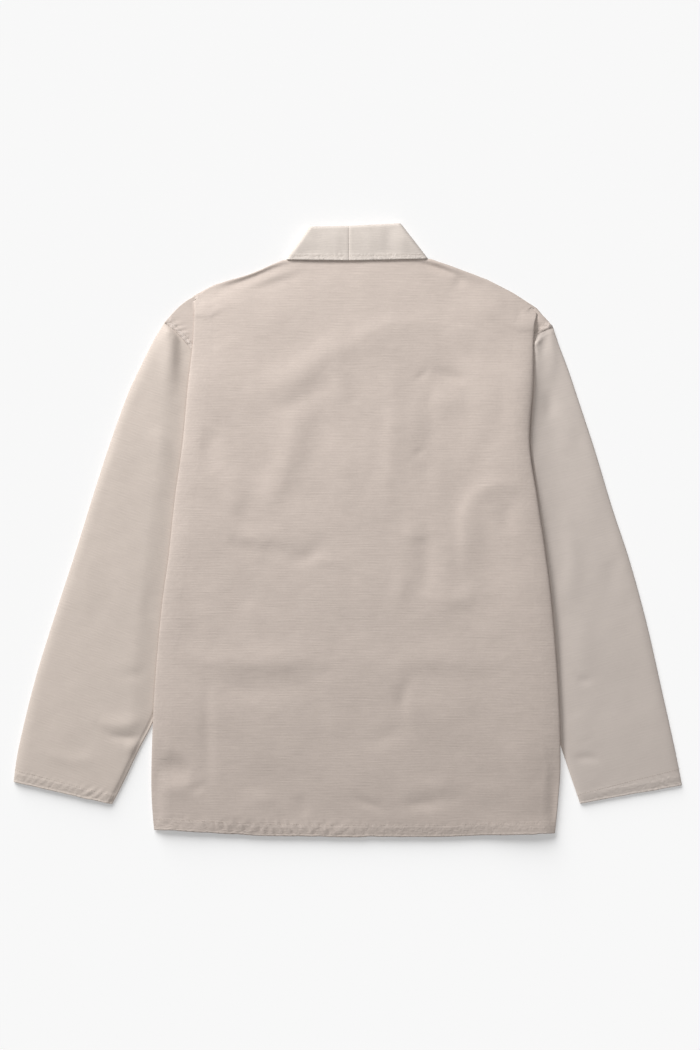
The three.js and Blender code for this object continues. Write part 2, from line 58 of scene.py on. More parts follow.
# Cloth and the heights of its layers.
CLOTH = 1.1  # one layer
COLLAR_PLY = 1.8  # the collar's two layers
LOW_RUN = 2.6  # middle of the layer that runs out to the armhole and side seams
SLEEVE_LOW = 0.88
SLEEVE_MIDDLE = 2.05  # its folded edges
SLEEVE_TOP = 2.2  # its upper layer where the body lies on it
SLEEVE_LOFT = {"left": 3.9, "right": 2.0}  # the rise of the upper layer beside the body
SLEEVE_HEAD = {"left": 0.1, "right": 0.3}  # how much of that rise is left at the armhole
SLEEVE_CLEAR = {"left": 32, "right": 4}  # it is up at this distance outside the body's folded edge
SLEEVE_EDGE_STEPS = (0, 0.25, 0.8, 1.7, 3, 4.8, 7.2, 10, 13.5)
SLEEVE_ACROSS = (58, 14)  # points across its upper and its under layer, between those steps
SLEEVE_RINGS = np.concatenate(
    [(0, 0.02, 0.06, 0.12), np.linspace(0.17, 9.5, 210), np.linspace(9.53, 10, 25)])
FRONT_LEVEL = 0.75
BACK_LEVEL = 7.4  # the back, away from its folded edges
INNER_BEND = 0.9
SEAM_LIP = 1.3  # the body's rise where it laps over the sleeve's edge
SHOULDER_BOW = {"left": 4.5, "right": 1.5}  # of the edge between the fold and the armhole
ROLL = {
    "left": {"wide": 22, "high": 3.3, "under": 1.5},
    "right": {"wide": 20, "high": 3.2, "under": 7.2},
}
# Points around a fold: its roll, the run under it, the bend back out, the run to the seam.
ROLL_STEPS = 15
UNDER_STEPS = (0.3, 0.6, 1)
BEND_STEPS = (0.75, 0.5, 0.25, 0)
SEAM_STEPS = 9
LOW_COLUMNS = len(UNDER_STEPS) + len(BEND_STEPS) + SEAM_STEPS
BACK_COLUMNS = 122  # between the folds
SHED = 92  # the back comes down from its folded edges over this width
CREASE_DEPTH = 1.7  # what a crease of height 1 adds
PUCKER = 9.6  # from one pucker of a hem or a cuff to the next
# Unevenness in layers, each (height, width, length, slant of x, slant of up, seed).
BACK_LUMPS = [(0.8, 61, 47, 0, 0, 11), (0.24, 27, 31, 0.4, -0.3, 12), (0.1, 13, 15, -0.3, 0.2, 14)]
SLEEVE_LUMPS = {
    side: [(0.34, 44, 58, 0, 0, seed), (0.16, 21, 26, -0.5, 0, 24), (0.06, 11, 13, 0.4, 0, 25)]
    for side, seed in (("left", 20), ("right", 22))
}
ROUNDING = 0.42  # of a free edge, as a share of its thickness
# The borders of a grid: its axis, the row at the edge, the next row in, which way its quads turn.
BORDERS = ((0, 0, 1, 1), (0, -1, -2, -1), (1, 0, 1, -1), (1, -1, -2, 1))

# Trims.
HEM_TURN = 15
CUFF_TURN = 13
COLLAR_STITCH = 6  # from the collar's free edge
COLLAR_BEND = 3.4  # how far its roll stands out
COLLAR_POINTS = {"back": 56, "turn": 11, "front": 34}  # around half of the neck
COLLAR_ROWS = {"stand": 11, "roll": 11, "fall": 23}
COLLAR_SHOWN = 17  # rows from this one on lie over the back
ARMHOLE_STITCHES = (1.4, 5.5)  # from its seam
ARMHOLE_SHOWN = 590  # they show above this
STITCHED_POINTS = 12  # of a row in from a seam or an edge, as far as its stitches reach
STITCH = {"pitch": 3.3, "long": 2.4, "thick": 0.52, "slant": 0.05}
STITCH_RINGS = ((-0.5, 0.3), (-0.36, 0.9), (0, 1.05), (0.36, 0.9), (0.5, 0.3))
LAP = 16
FRONT_AT_NECK = (0, 668)
FRONT_AT_HEM = (18, 0)
FRONT_GRID = (150, 56)  # rows, and points across
BUTTON = {"thickness": 2.4, "first": 636, "pitch": 122, "count": 5}
BUTTON_UPS = [BUTTON["first"] - i * BUTTON["pitch"] for i in range(BUTTON["count"])]
BUTTON_LIFT = BUTTON["thickness"] + 0.5
BUTTON_PROFILE = [(0, 0.85), (2.2, 0.85), (5.4, 0.75), (6.4, 0.3), (7.1, 0.02), (8.1, 0),
                  (8.75, 0.45), (9, 1.1), (8.7, 1.75), (7.6, 2.2),
                  (6, BUTTON["thickness"]), (0, BUTTON["thickness"])]
PIN_PROFILE = [(0, -1), (0.95, -1), (0.95, 4), (0, 4)]  # what makes a hole
BUTTONHOLE = (1.4, 11.8)  # half its width and length
HOLE_OUT = 1.75  # a button's holes, to either side of its centre
THREAD_LEVEL = 0.62
THREAD_RINGS = ((-0.5, 0.4), (-0.38, 0.7), (0, 0.75), (0.38, 0.7), (0.5, 0.4))
POCKET = {"width": 149, "height": 188, "bottom": 55, "left": 105.5, "right": 138.5, "corner": 12}
POCKET_MOUTH = 24
POCKET_ROWS = 44
POCKET_LEVEL = 0.76

# Cloths, and their repeats in metres.
# One cotton in a tone per piece: partly each piece's own tone, partly painted light and shade that make up
# for how the lamps light that piece.
STONE = {
    "body": (0.592, 0.5075, 0.454),
    "sleeve_left": (0.602, 0.523, 0.466),
    "sleeve_right": (0.617, 0.545, 0.496),
    "collar": (0.655, 0.588, 0.535),
}
GRAIN = {"body": 0.9, "sleeve_left": 0.7, "sleeve_right": 0.45, "collar": 0.9}
RIB, WEFT, WARP = 0.0034, 0.0011, 0.0009
# The size of each cloth laid out, its area and what it rests on.
SHEETS = {
    "shirt_back": ((0.66, 0.79), 0.43, ["shirt_front_left", "shirt_front_right"]),
    "shirt_front_left": ((0.28, 0.79), 0.165, ["shirt_pocket_left"]),
    "shirt_front_right": ((0.28, 0.79), 0.165, ["shirt_pocket_right"]),
    "shirt_sleeve_left": ((0.46, 0.66), 0.165, ["floor"]),
    "shirt_sleeve_right": ((0.46, 0.66), 0.16, ["floor"]),
    "shirt_collar_left": ((0.19, 0.09), 0.015, ["shirt_back"]),
    "shirt_collar_right": ((0.2, 0.09), 0.017, ["shirt_back"]),
    "shirt_pocket_left": ((0.149, 0.188), 0.0278, ["floor"]),
    "shirt_pocket_right": ((0.149, 0.188), 0.0278, ["floor"]),
}

# The stage, in metres.
FLOOR_TONE = (0.7, 0.7, 0.7)
FLOOR_GLOW = 0.3
FLOOR_HALF = 30
CAMERA_HEIGHT = 3.2
SENSOR = 36  # millimetres
VIEW_LONG = 1.3503  # length of the view on the floor
VIEW_CENTRE = (0.0039, 0.0065)
SHIRT_LAMPS = {
    "key": {"place": (-1.5, 1.7, 1.25), "size": 0.95, "power": 71},
    "top": {"place": (0.2, 0.25, 1.1), "size": 1.0, "power": 3.2},
}
FLOOR_LAMP = {"place": (-0.4, 1.0, 0.52), "angle": 46, "power": 4.87}
SKY = 0.24

# Sections of the body from the shoulder line to the hem: the folded edge (x, up), the inner end
# of the fold (x), the seam to the sleeve and then to the front (x, up), and how far it has turned.
MID_UP = [744, 724, 704, 684, 663, 625, 582, 506, 431, 357, 290, 187, 93, 41, -4]
SIDE_ROWS = {
    "left": [
        (206, 692, 203, 243, 656, 0.08),
        (205, 677, 199, 235, 650, 0.62),
        (205, 661, 196, 227, 643, 1),
        (206, 645, 193, 218, 633, 1),
        (207, 629, 190, 209, 621, 1),
        (210, 603, 187, 201, 598, 1),
        (214, 568, 185, 196, 566, 1),
        (220, 502, 182, 191, 500, 1),
        (230, 430, 181, 190, 430, 1),
        (238, 356, 184, 192, 356, 1),
        (247, 289, 198, 206, 289, 1),
        (256, 186, 216, 224, 186, 1),
        (260, 93, 229, 237, 93, 1),
        (260, 45, 232, 240, 45, 1),
        (257, 5, 234, 242, 5, 1),
    ],
    "right": [
        (235, 676, 231, 255, 651, 0.08),
        (235, 666, 227, 249, 648, 0.5),
        (232, 655, 223, 243, 645, 0.84),
        (231, 643, 217, 236, 640, 1),
        (230, 629, 207, 227, 630, 1),
        (230, 603, 195, 211, 604, 1),
        (229, 568, 188, 200, 568, 1),
        (225, 500, 184, 193, 500, 1),
        (235, 430, 183, 192, 430, 1),
        (246, 356, 186, 194, 356, 1),
        (254, 289, 199, 207, 289, 1),
        (262, 186, 221, 229, 186, 1),
        (265, 93, 232, 240, 93, 1),
        (262, 41, 234, 242, 41, 1),
        (258, 1, 235, 243, 1, 1),
    ],
}
ARMHOLE_END = 9  # the seam runs along the armhole down to this section
# The top of the body: the neck seam, then the shoulder out to the armhole.
SHOULDER_LINE = {
    "left": [(0, 744), (83, 737.5), (105, 732), (136, 719), (180, 706), (206, 692), (243, 656)],
    "right": [(0, 744), (91, 738.5), (111, 734), (141, 724), (172, 712.5), (204, 696), (235, 676),
              (255, 651)],
}
# Sections of each sleeve from the armhole to the cuff: its outer edge (x, up), its inner edge
# (x, up), and how much of the armhole's curve it keeps.
SLEEVE_ROWS = {
    "left": [
        (243, 656, 193, 357, 1),
        (257, 633, 199, 344, 0.88),
        (274, 599, 206, 325, 0.7),
        (291, 562, 213, 305, 0.5),
        (314, 498, 223, 270, 0.3),
        (336, 430, 230, 232, 0.14),
        (359, 356, 243, 191, 0.05),
        (385, 276, 257, 147, 0),
        (409, 198, 277, 107, 0),
        (430, 112, 297, 65, 0),
        (437, 66, 311, 38, 0),
    ],
    "right": [
        (255, 651, 195, 357, 1),
        (263, 627, 201, 344, 0.88),
        (275, 595, 207, 325, 0.7),
        (289, 553, 214, 304, 0.5),
        (309, 492, 224, 268, 0.3),
        (331, 419, 231, 230, 0.14),
        (354, 349, 242, 191, 0.05),
        (376, 268, 255, 147, 0),
        (395, 184, 270, 101, 0),
        (411, 112, 282, 65, 0),
        (421, 62, 291, 39, 0),
    ],
}
# The collar's lines, each (x, up) at the centre back, at the side of the neck, at the front.
COLLAR_SEAM = -6.5  # the centre back seam sits a little to one side
COLLAR_LINES = {
    "left": {"neck": [(0, 744.8), (83, 738.5), (1, 668.5)],
             "roll": [(0, 780), (57, 779), (4, 692)],
             "edge": [(0, 736), (87, 737), (50, 641)]},
    "right": {"neck": [(0, 744.8), (91, 739.5), (1, 668.5)],
              "roll": [(0, 780), (60, 783), (4, 692)],
              "edge": [(0, 736), (95, 738), (50, 641)]},
}
# Heights of the collar's layers at the back and at the front of the neck.
STAND_LEVEL = (5.3, 3.0)
FALL_LEVEL = (9.9, 1.2)

# Creases: the points that each runs through, its height, and its reach to either side of its run,
# first to the left of someone who walks along it. A trough has a height below zero.
BACK_CREASES = [
    # Below the left shoulder.
    ([(-82, 736.5), (-105, 730), (-140, 716), (-178, 704)], 0.9, 3, 3),
    ([(-84, 731.5), (-105, 725), (-140, 711), (-170, 700)], -1.2, 6, 3.2),
    ([(-78, 717), (-105, 713), (-138, 702)], 0.35, 5, 5),
    ([(-62, 720), (-92, 711), (-124, 700)], -0.8, 8, 5),
    ([(-124, 686), (-165, 680), (-208, 676)], 0.8, 40, 13),
    ([(-216, 690), (-213, 676)], -1.2, 7, 6),
    # The long diagonal from the shoulder blade, and its run to the right.
    ([(8, 640), (-22, 624), (-50, 603), (-84, 583), (-126, 563)], 1.75, 20, 19),
    ([(-36, 580), (-66, 558), (-104, 542)], -0.8, 13, 13),
    ([(-14, 612), (20, 640), (55, 652), (118, 652)], 1.5, 14, 36),
    ([(-16, 606), (-20, 580), (-14, 548)], 0.9, 16, 12),
    ([(118, 648), (150, 634), (176, 640)], 0.5, 16, 14),
    # The second diagonal, toward the left side.
    ([(-70, 556), (-76, 512), (-92, 462), (-122, 404)], 1.35, 17, 16),
    ([(-40, 540), (-46, 490), (-66, 442)], -0.6, 19, 17),
    ([(-178, 520), (-186, 492), (-176, 462)], -1.1, 13, 12),
    ([(-165, 470), (-150, 440), (-158, 410)], 0.8, 15, 15),
    ([(-30, 472), (-8, 446), (-16, 410)], 0.6, 20, 22),
    # The doubled front edges and the buttons, felt through the back.
    ([(46, 606), (50, 540), (46, 470), (40, 420)], 0.9, 16, 12),
    ([(96, 590), (98, 530), (92, 450)], -0.9, 14, 14),
    ([(98, 594), (122, 588), (146, 580)], -1.1, 8, 9),
    ([(96, 560), (118, 554), (144, 558)], 1.1, 16, 15),
    ([(84, 592), (90, 584)], -0.7, 8, 8),
    ([(80, 494), (87, 484)], -0.6, 8, 8),
    # The long hook down the right side.
    ([(222, 442), (186, 447), (158, 436), (145, 412), (143, 366), (144, 318)], 1.45, 17, 10),
    ([(170, 520), (166, 486), (150, 462)], -0.8, 16, 14),
    ([(193, 580), (190, 548), (192, 522)], -0.3, 8, 8),
    ([(184, 648), (186, 560), (184, 470)], -0.5, 14, 13),
    ([(222, 640), (222, 560), (216, 470)], 0.7, 15, 15),
    ([(206, 426), (196, 408), (200, 380)], -1.1, 10, 12),
    ([(180, 420), (174, 370), (178, 300)], -0.4, 26, 15),
    # Below the right shoulder.
    ([(84, 737.5), (98, 735.5), (114, 730.5), (138, 720.5)], 1.2, 3, 3),
    ([(82, 733), (96, 730), (111, 725.5), (132, 717)], -1.3, 2.8, 6),
    ([(126, 713), (160, 706), (204, 690)], -0.6, 8, 7),
    ([(141, 716), (128, 700)], -0.7, 7, 7),
    ([(146, 676), (172, 672), (198, 674)], 0.7, 14, 14),
    # Across the waist.
    ([(-160, 384), (-138, 366), (-118, 362)], -0.75, 10, 12),
    ([(-112, 378), (-98, 362), (-86, 364)], -0.8, 9, 13),
    ([(-84, 360), (-62, 354), (-44, 374)], -0.8, 10, 10),
    ([(-60, 349), (-34, 349), (-8, 350)], 0.4, 8, 9),
    ([(-170, 384), (-130, 379), (-88, 378)], 0.7, 13, 10),
    ([(-140, 300), (-131, 282), (-124, 262)], 0.7, 10, 9),
    ([(92, 402), (92, 350), (88, 300)], -1.0, 11, 12),
    ([(118, 384), (120, 340), (112, 306)], 0.8, 14, 16),
    ([(60, 388), (80, 383), (98, 386)], 0.7, 11, 8),
    ([(58, 338), (60, 316), (56, 296)], 0.7, 10, 10),
    ([(104, 306), (128, 300), (160, 306)], 0.9, 12, 12),
    ([(-10, 318), (20, 300), (30, 262)], 0.5, 22, 22),
    # The pockets' mouths and sides.
    ([(-196, 226), (-150, 222), (-96, 219), (-62, 223), (-22, 218)], 1.1, 22, 14),
    ([(-238, 226), (-150, 214), (-66, 222)], 0.9, 18, 90),
    ([(-174, 190), (-120, 186), (-60, 190)], -0.5, 14, 16),
    ([(-187, 208), (-188, 150), (-187, 96), (-186, 56)], -0.9, 7, 9),
    ([(-154, 196), (-136, 180), (-126, 166)], -0.5, 9, 9),
    ([(48, 219), (100, 223), (152, 218), (190, 224)], 0.95, 20, 13),
    ([(72, 200), (64, 180), (60, 150)], -0.8, 8, 9),
    ([(20, 116), (40, 124), (64, 136)], -0.7, 12, 11),
    ([(-30, 210), (-22, 170), (-26, 120)], 0.5, 16, 14),
    # Down the left side.
    ([(-200, 350), (-202, 270), (-208, 190), (-206, 130)], -0.35, 15, 17),
    ([(-200, 300), (-188, 262), (-196, 236)], 0.4, 12, 12),
    # Toward the hem.
    ([(-250, 94), (-230, 84), (-208, 76)], -2.0, 13, 15),
    ([(-250, 62), (-232, 58), (-214, 60)], 0.6, 11, 11),
    ([(-204, 66), (-196, 52)], -0.8, 10, 10),
    ([(-72, 50), (-66, 36), (-60, 20)], -0.8, 9, 9),
    ([(-2, 46), (14, 40), (40, 30)], -0.8, 6, 6),
    ([(60, 36), (86, 38), (122, 42)], -1.1, 9, 8),
    ([(84, 64), (108, 62), (128, 60)], 0.6, 9, 9),
    ([(-132, 40), (-118, 44), (-100, 36)], 0.6, 10, 10),
    ([(148, 60), (172, 52), (196, 60)], 0.5, 13, 13),
    ([(214, 110), (218, 70), (222, 20)], 0.4, 15, 15),
    ([(266, 90), (264, 30), (262, -30)], -1.6, 26, 26),
]
SLEEVE_CREASES = {
    "left": [
        ([(-237, 672), (-235, 640), (-234, 606), (-234, 574)], 2.6, 9, 13),
        ([(-217, 660), (-217, 626), (-219, 588)], -1.5, 9, 10),
        ([(-262, 520), (-246, 498), (-236, 470)], 0.9, 11, 11),
        ([(-300, 520), (-306, 470), (-300, 420)], 0.6, 18, 18),
        ([(-348, 372), (-340, 330), (-352, 280)], 0.6, 16, 20),
        ([(-258, 312), (-262, 290), (-256, 268)], -0.7, 10, 9),
        ([(-290, 262), (-284, 224), (-296, 196)], 0.5, 16, 16),
        ([(-262, 212), (-280, 203), (-300, 205)], -0.5, 8, 8),
        ([(-262, 152), (-282, 142), (-306, 139), (-330, 146)], 1.0, 8, 11),
        ([(-264, 127), (-290, 123), (-316, 126)], -0.9, 6, 5),
        ([(-272, 112), (-296, 107)], 0.7, 7, 7),
        ([(-330, 98), (-362, 94), (-398, 104)], 0.5, 9, 9),
        ([(-392, 150), (-376, 120), (-386, 92)], 0.5, 16, 16),
    ],
    "right": [
        ([(246, 652), (245, 634), (240, 612)], -1.0, 6, 7),
        ([(258, 648), (256, 616), (252, 580)], 0.6, 7, 8),
        ([(247, 572), (252, 552), (250, 530)], -0.8, 8, 8),
        ([(272, 560), (276, 520), (274, 480)], 0.4, 12, 12),
        ([(300, 470), (306, 420), (300, 380)], 0.5, 18, 18),
        ([(276, 392), (280, 340), (276, 296)], 0.8, 13, 13),
        ([(324, 350), (332, 332), (326, 312)], -0.5, 11, 11),
        ([(290, 280), (294, 230), (288, 196)], 0.6, 15, 15),
        ([(286, 200), (296, 196), (306, 199)], -0.5, 6, 6),
        ([(284, 156), (292, 136), (300, 118)], 0.5, 13, 13),
        ([(282, 96), (300, 97), (316, 94)], -0.6, 6, 6),
        ([(352, 220), (364, 180), (360, 140)], -0.4, 18, 18),
    ],
}
COLLAR_CREASES = [
    ([(22, 782), (20, 760), (24, 738)], 0.5, 9, 8),
    ([(46, 780), (44, 760), (48, 742)], -0.8, 8, 7),
    ([(62, 776), (60, 758), (66, 742)], 0.7, 8, 9),
    ([(-24, 780), (-22, 760), (-26, 740)], 0.5, 7, 9),
    ([(-44, 780), (-46, 762), (-42, 742)], -0.4, 10, 9),
    ([(-66, 762), (-70, 750), (-76, 742)], 0.6, 8, 8),
]

low_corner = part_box("pocket_left")[0]
ORIGIN = (low_corner.x / MM + POCKET["left"] + POCKET["width"] / 2, low_corner.y / MM - POCKET["bottom"], 0)


def to_frame(points):
    """Points in the shirt's millimetres, as metres in the model's frame."""
    return (np.asarray(points, float) + ORIGIN) * MM


# Numbers and lines.

def smooth(value, low, high):
    share = np.clip((np.asarray(value, float) - low) / (high - low), 0, 1)
    return share * share * (3 - 2 * share)


def falls(value, low, high):
    return 1 - smooth(value, low, high)


def band(value, low, high, high_end, low_end):
    """Rises from 0 at low to 1 at high, and falls from 1 at high_end to 0 at low_end."""
    return smooth(value, low, high) * falls(value, high_end, low_end)


def bell(distance, width):
    return np.exp(-((distance / width) ** 2))


def lerp(start, end, share):
    return start + (end - start) * share


def unit(vectors):
    return vectors / np.maximum(np.linalg.norm(vectors, axis=-1, keepdims=True), 1e-9)


def travelled(points, axis=0):
    """How far each point is from the first of its line."""
    steps = np.linalg.norm(np.diff(points, axis=axis), axis=-1)
    return np.insert(np.cumsum(steps, axis), 0, 0, axis)


def point_along(line, at):
    """The points at some distances along a line of points."""
    passed = travelled(line)
    return np.stack([np.interp(at, passed, part) for part in line.T], -1)


def nearest(values, wanted):
    return int(np.argmin(np.abs(values - wanted)))


def columns(rows, at):
    """A table's columns at places between its rows, on smooth curves through them."""
    table = np.asarray(rows, float).T
    last = table.shape[-1] - 1
    row = np.minimum(np.floor(at).astype(int), last - 1)
    share = at - row
    before, start, end, after = (table[..., np.clip(row + k, 0, last)] for k in (-1, 0, 1, 2))
    bend = 2 * before - 5 * start + 4 * end - after
    twist = 3 * (start - end) + after - before
    return start + share * (end - before + share * (bend + share * twist)) / 2


def curve(points, steps):
    """A smooth line through a few points."""
    at = np.linspace(0, len(points) - 1, steps * (len(points) - 1) + 1)
    return columns(points, at).T


def lumps(x, up, wide, high, seed):
    """Smooth unevenness from -1 to 1, in lumps of about the given size."""
    side = 64
    lattice = np.random.default_rng(seed).uniform(-1, 1, (side, side))
    across = np.asarray(x, float) / wide + 1000.37
    along = np.asarray(up, float) / high + 1000.71
    i = np.floor(across).astype(int)
    j = np.floor(along).astype(int)
    share = smooth(across - i, 0, 1)
    lower, upper = (
        lerp(lattice[i % side, k % side], lattice[(i + 1) % side, k % side], share) for k in (j, j + 1))
    return lerp(lower, upper, smooth(along - j, 0, 1))


def uneven(x, up, layers):
    """Lumps in layers of (height, width, length, slant of x, slant of up, seed)."""
    return sum(height * lumps(x + x_slant * up, up + up_slant * x, wide, long, seed)
               for height, wide, long, x_slant, up_slant, seed in layers)


def crease_rise(creases, x, up):
    """The height that a list of creases adds at each place."""
    rise = np.zeros(np.shape(x))
    for points, height, *reaches in creases:
        path = curve(points, 5)
        margin = 3 * max(reaches)
        (low_x, low_up), (high_x, high_up) = path.min(0) - margin, path.max(0) + margin
        near = (x > low_x) & (x < high_x) & (up > low_up) & (up < high_up)
        passed = travelled(path)
        long = np.diff(passed)
        step_x, step_up = np.diff(path, axis=0).T
        dx = x[near][:, None] - path[:-1, 0]
        dy = up[near][:, None] - path[:-1, 1]
        share = np.clip((dx * step_x + dy * step_up) / long**2, 0, 1)
        away = np.hypot(dx - share * step_x, dy - share * step_up)
        closest = np.arange(len(away)), away.argmin(1)
        is_left = (step_x * dy - step_up * dx)[closest] > 0
        along = (passed[:-1] + share * long)[closest] / passed[-1]
        taper = np.sin(np.pi * np.clip(along, 0.04, 0.96)) ** 0.7
        rise[near] += height * taper * bell(away[closest], np.where(is_left, *reaches))
    return rise


# Meshes.

def add_object(name, data):
    obj = bpy.data.objects.new(name, data)
    bpy.context.scene.collection.objects.link(obj)
    return obj


def mesh_object(name, points, faces):
    mesh = bpy.data.meshes.new(name)
    mesh.from_pydata(np.asarray(points).tolist(), [], faces)
    return add_object(name, mesh)


def grid_quads(corners, ring):
    """Quads between the corners of a grid; a ring's last column meets its first."""
    left, right = (corners, np.roll(corners, -1, 1)) if ring else (corners[:, :-1], corners[:, 1:])
    return np.stack([left[:-1], right[:-1], right[1:], left[1:]], -1).reshape(-1, 4)


def grid_normals(mid, ring):
    across = np.roll(mid, -1, 1) - np.roll(mid, 1, 1) if ring else np.gradient(mid, axis=1)
    return unit(np.cross(np.gradient(mid, axis=0), across))


def wall(name, mid, cut, outside=CLOTH / 2, inside=CLOTH / 2, ring=False, wear=0):
    """A closed wall of cloth around its middle surface, with rounded free borders.

    mid holds rows of points, cut the flat coordinates of the same points, and outside and inside
    the distances to the two faces. Returns the object and the points of its outer face."""
    outer = np.arange(mid[..., 0].size).reshape(mid.shape[:2])
    inner = outer + outer.size
    outside, inside, wear, _ = np.broadcast_arrays(outside, inside, wear, outer)
    normals = grid_normals(mid, ring)
    face_out = mid + normals * outside[..., None]
    face_in = mid - normals * inside[..., None]
    points, flat, worn = [face_out, face_in], [cut, cut], [wear, wear]
    quads = [np.roll(grid_quads(outer, ring)[:, ::-1], 1, 1), grid_quads(inner, ring)]
    made = 2 * outer.size
    bulges = []
    for axis, edge, next_in, way in BORDERS[:2] if ring else BORDERS:
        out, back, middle, corner_out, corner_in, flat_here, wear_here = (
            np.take(grid, edge, axis) for grid in (face_out, face_in, mid, outer, inner, cut, wear))
        depth = np.linalg.norm(out - back, axis=-1, keepdims=True)
        outward = unit(middle - np.take(mid, next_in, axis))
        points.append((out + back) / 2 + outward * depth * ROUNDING)
        flat.append(flat_here)
        worn.append(wear_here)
        bulge = made + np.arange(len(middle))
        made += len(middle)
        bulges.append(bulge)
        strip = np.stack([corner_out, bulge, corner_in])
        quads.append(grid_quads(strip, ring)[:, ::way])
    if not ring:
        top, bottom, start, end = bulges
        quads.append([
            (outer[0, 0], top[0], inner[0, 0], start[0]),
            (inner[0, -1], top[-1], outer[0, -1], end[0]),
            (inner[-1, 0], bottom[0], outer[-1, 0], start[-1]),
            (outer[-1, -1], bottom[-1], inner[-1, -1], end[-1]),
        ])
    points, flat = (np.concatenate([part.reshape(-1, part.shape[-1]) for part in parts])
                    for parts in (points, flat))
    quads = np.concatenate(quads)
    obj = mesh_object(name, to_frame(points), quads.tolist())
    obj.data.shade_smooth()
    layer = obj.data.uv_layers.new(name="cut")
    layer.data.foreach_set("uv", (flat[quads.ravel()] * MM).ravel())
    add_layer(obj, "wear", np.concatenate([part.ravel() for part in worn]))
    return obj, face_out


def add_layer(obj, name, values):
    """A value at each point of an object, for its material to read."""
    layer = obj.data.attributes.new(name, "FLOAT", "POINT")
    layer.data.foreach_set("value", values.astype(np.float32))


def spindles(name, middles, along, aside, above, rings):
    """Threads that lie along vectors, as thick as aside and above, in rings of (share, width)."""
    turn = np.arange(6)[:, None] * math.pi / 3
    share, width = np.array(rings).T
    around = aside[:, None] * np.cos(turn) + above[:, None] * np.sin(turn)
    centres = middles[:, None] + along[:, None] * share[:, None]
    points = centres[:, :, None] + around[:, None] * width[:, None, None]
    corners = np.arange(points[0, ..., 0].size).reshape(-1, 6)
    halves = np.array([(0, 1, 2, 3), (0, 3, 4, 5)])
    faces = np.concatenate([grid_quads(corners, True), corners[0, ::-1][halves], corners[-1][halves]])
    faces = faces + np.arange(len(points))[:, None, None] * corners.size
    return mesh_object(name, to_frame(points.reshape(-1, 3)), faces.reshape(-1, 4).tolist())


def sewn(name, runs, seed):
    """Rows of stitches along lines that lie on the cloth, as one mesh."""
    rng = np.random.default_rng(seed)
    stitches = []
    for line in runs:
        at = np.arange(STITCH["pitch"] / 2, travelled(line)[-1], STITCH["pitch"])
        middles = point_along(line, at)
        tangent = unit(np.gradient(middles, axis=0))
        aside = unit(np.cross(tangent, (0.02, 0.03, 1)))
        slant = rng.normal(0, STITCH["slant"], (len(middles), 1))
        stitches.append(np.stack([middles, unit(tangent + aside * slant), aside, np.cross(aside, tangent)]))
    middles, along, aside, above = np.concatenate(stitches, 1)
    half = STITCH["thick"] / 2
    obj = spindles(name, middles, along * STITCH["long"], aside * half, above * 0.75 * half, STITCH_RINGS)
    obj.data.shade_smooth()
    return obj


# The body.

def side_at(side, at):
    """The columns of the body's sections at places between them."""
    *places, turn = columns(SIDE_ROWS[side], at)
    return *places, np.minimum(turn, 1)


def body_rows():
    """Places between the body's sections, closer together at the shoulder line and the hem."""
    wanted = np.concatenate([
        [744, 743.4, 742.4, 741, 739.3, 737.5, 735.6, 733.6, 731.5, 729.3],
        np.arange(726.5, 664, -3.24),
        np.arange(664, 608, -1.7),
        np.arange(607.5, 27, -3.3),
        [25, 22.6, 20.4, 18.4, 16.4, 14.6, 12.8, 11, 9, 7, 5, 3, 1.2, -0.4, -1.8, -3, -4],
    ])
    at = np.linspace(0, len(MID_UP) - 1, 4000)
    return np.interp(-wanted, -columns(MID_UP, at), at)


def roll_size(side, edge_up):
    """The roll's reach and heights along a folded edge: uneven, and lower toward the hem."""
    size = ROLL[side]
    held = lerp(0.5, 1, smooth(edge_up, 20, 520)) * lerp(1, 0.25, smooth(edge_up, 560, 674))
    wave = 1 + 0.14 * lumps(edge_up, 0, 47, 10, 5 + SIGN[side]) + 0.08 * lumps(edge_up, 9, 19, 10, 9)
    return size["wide"] * wave, size["high"] * held * wave, 0.4 + size["under"] * held


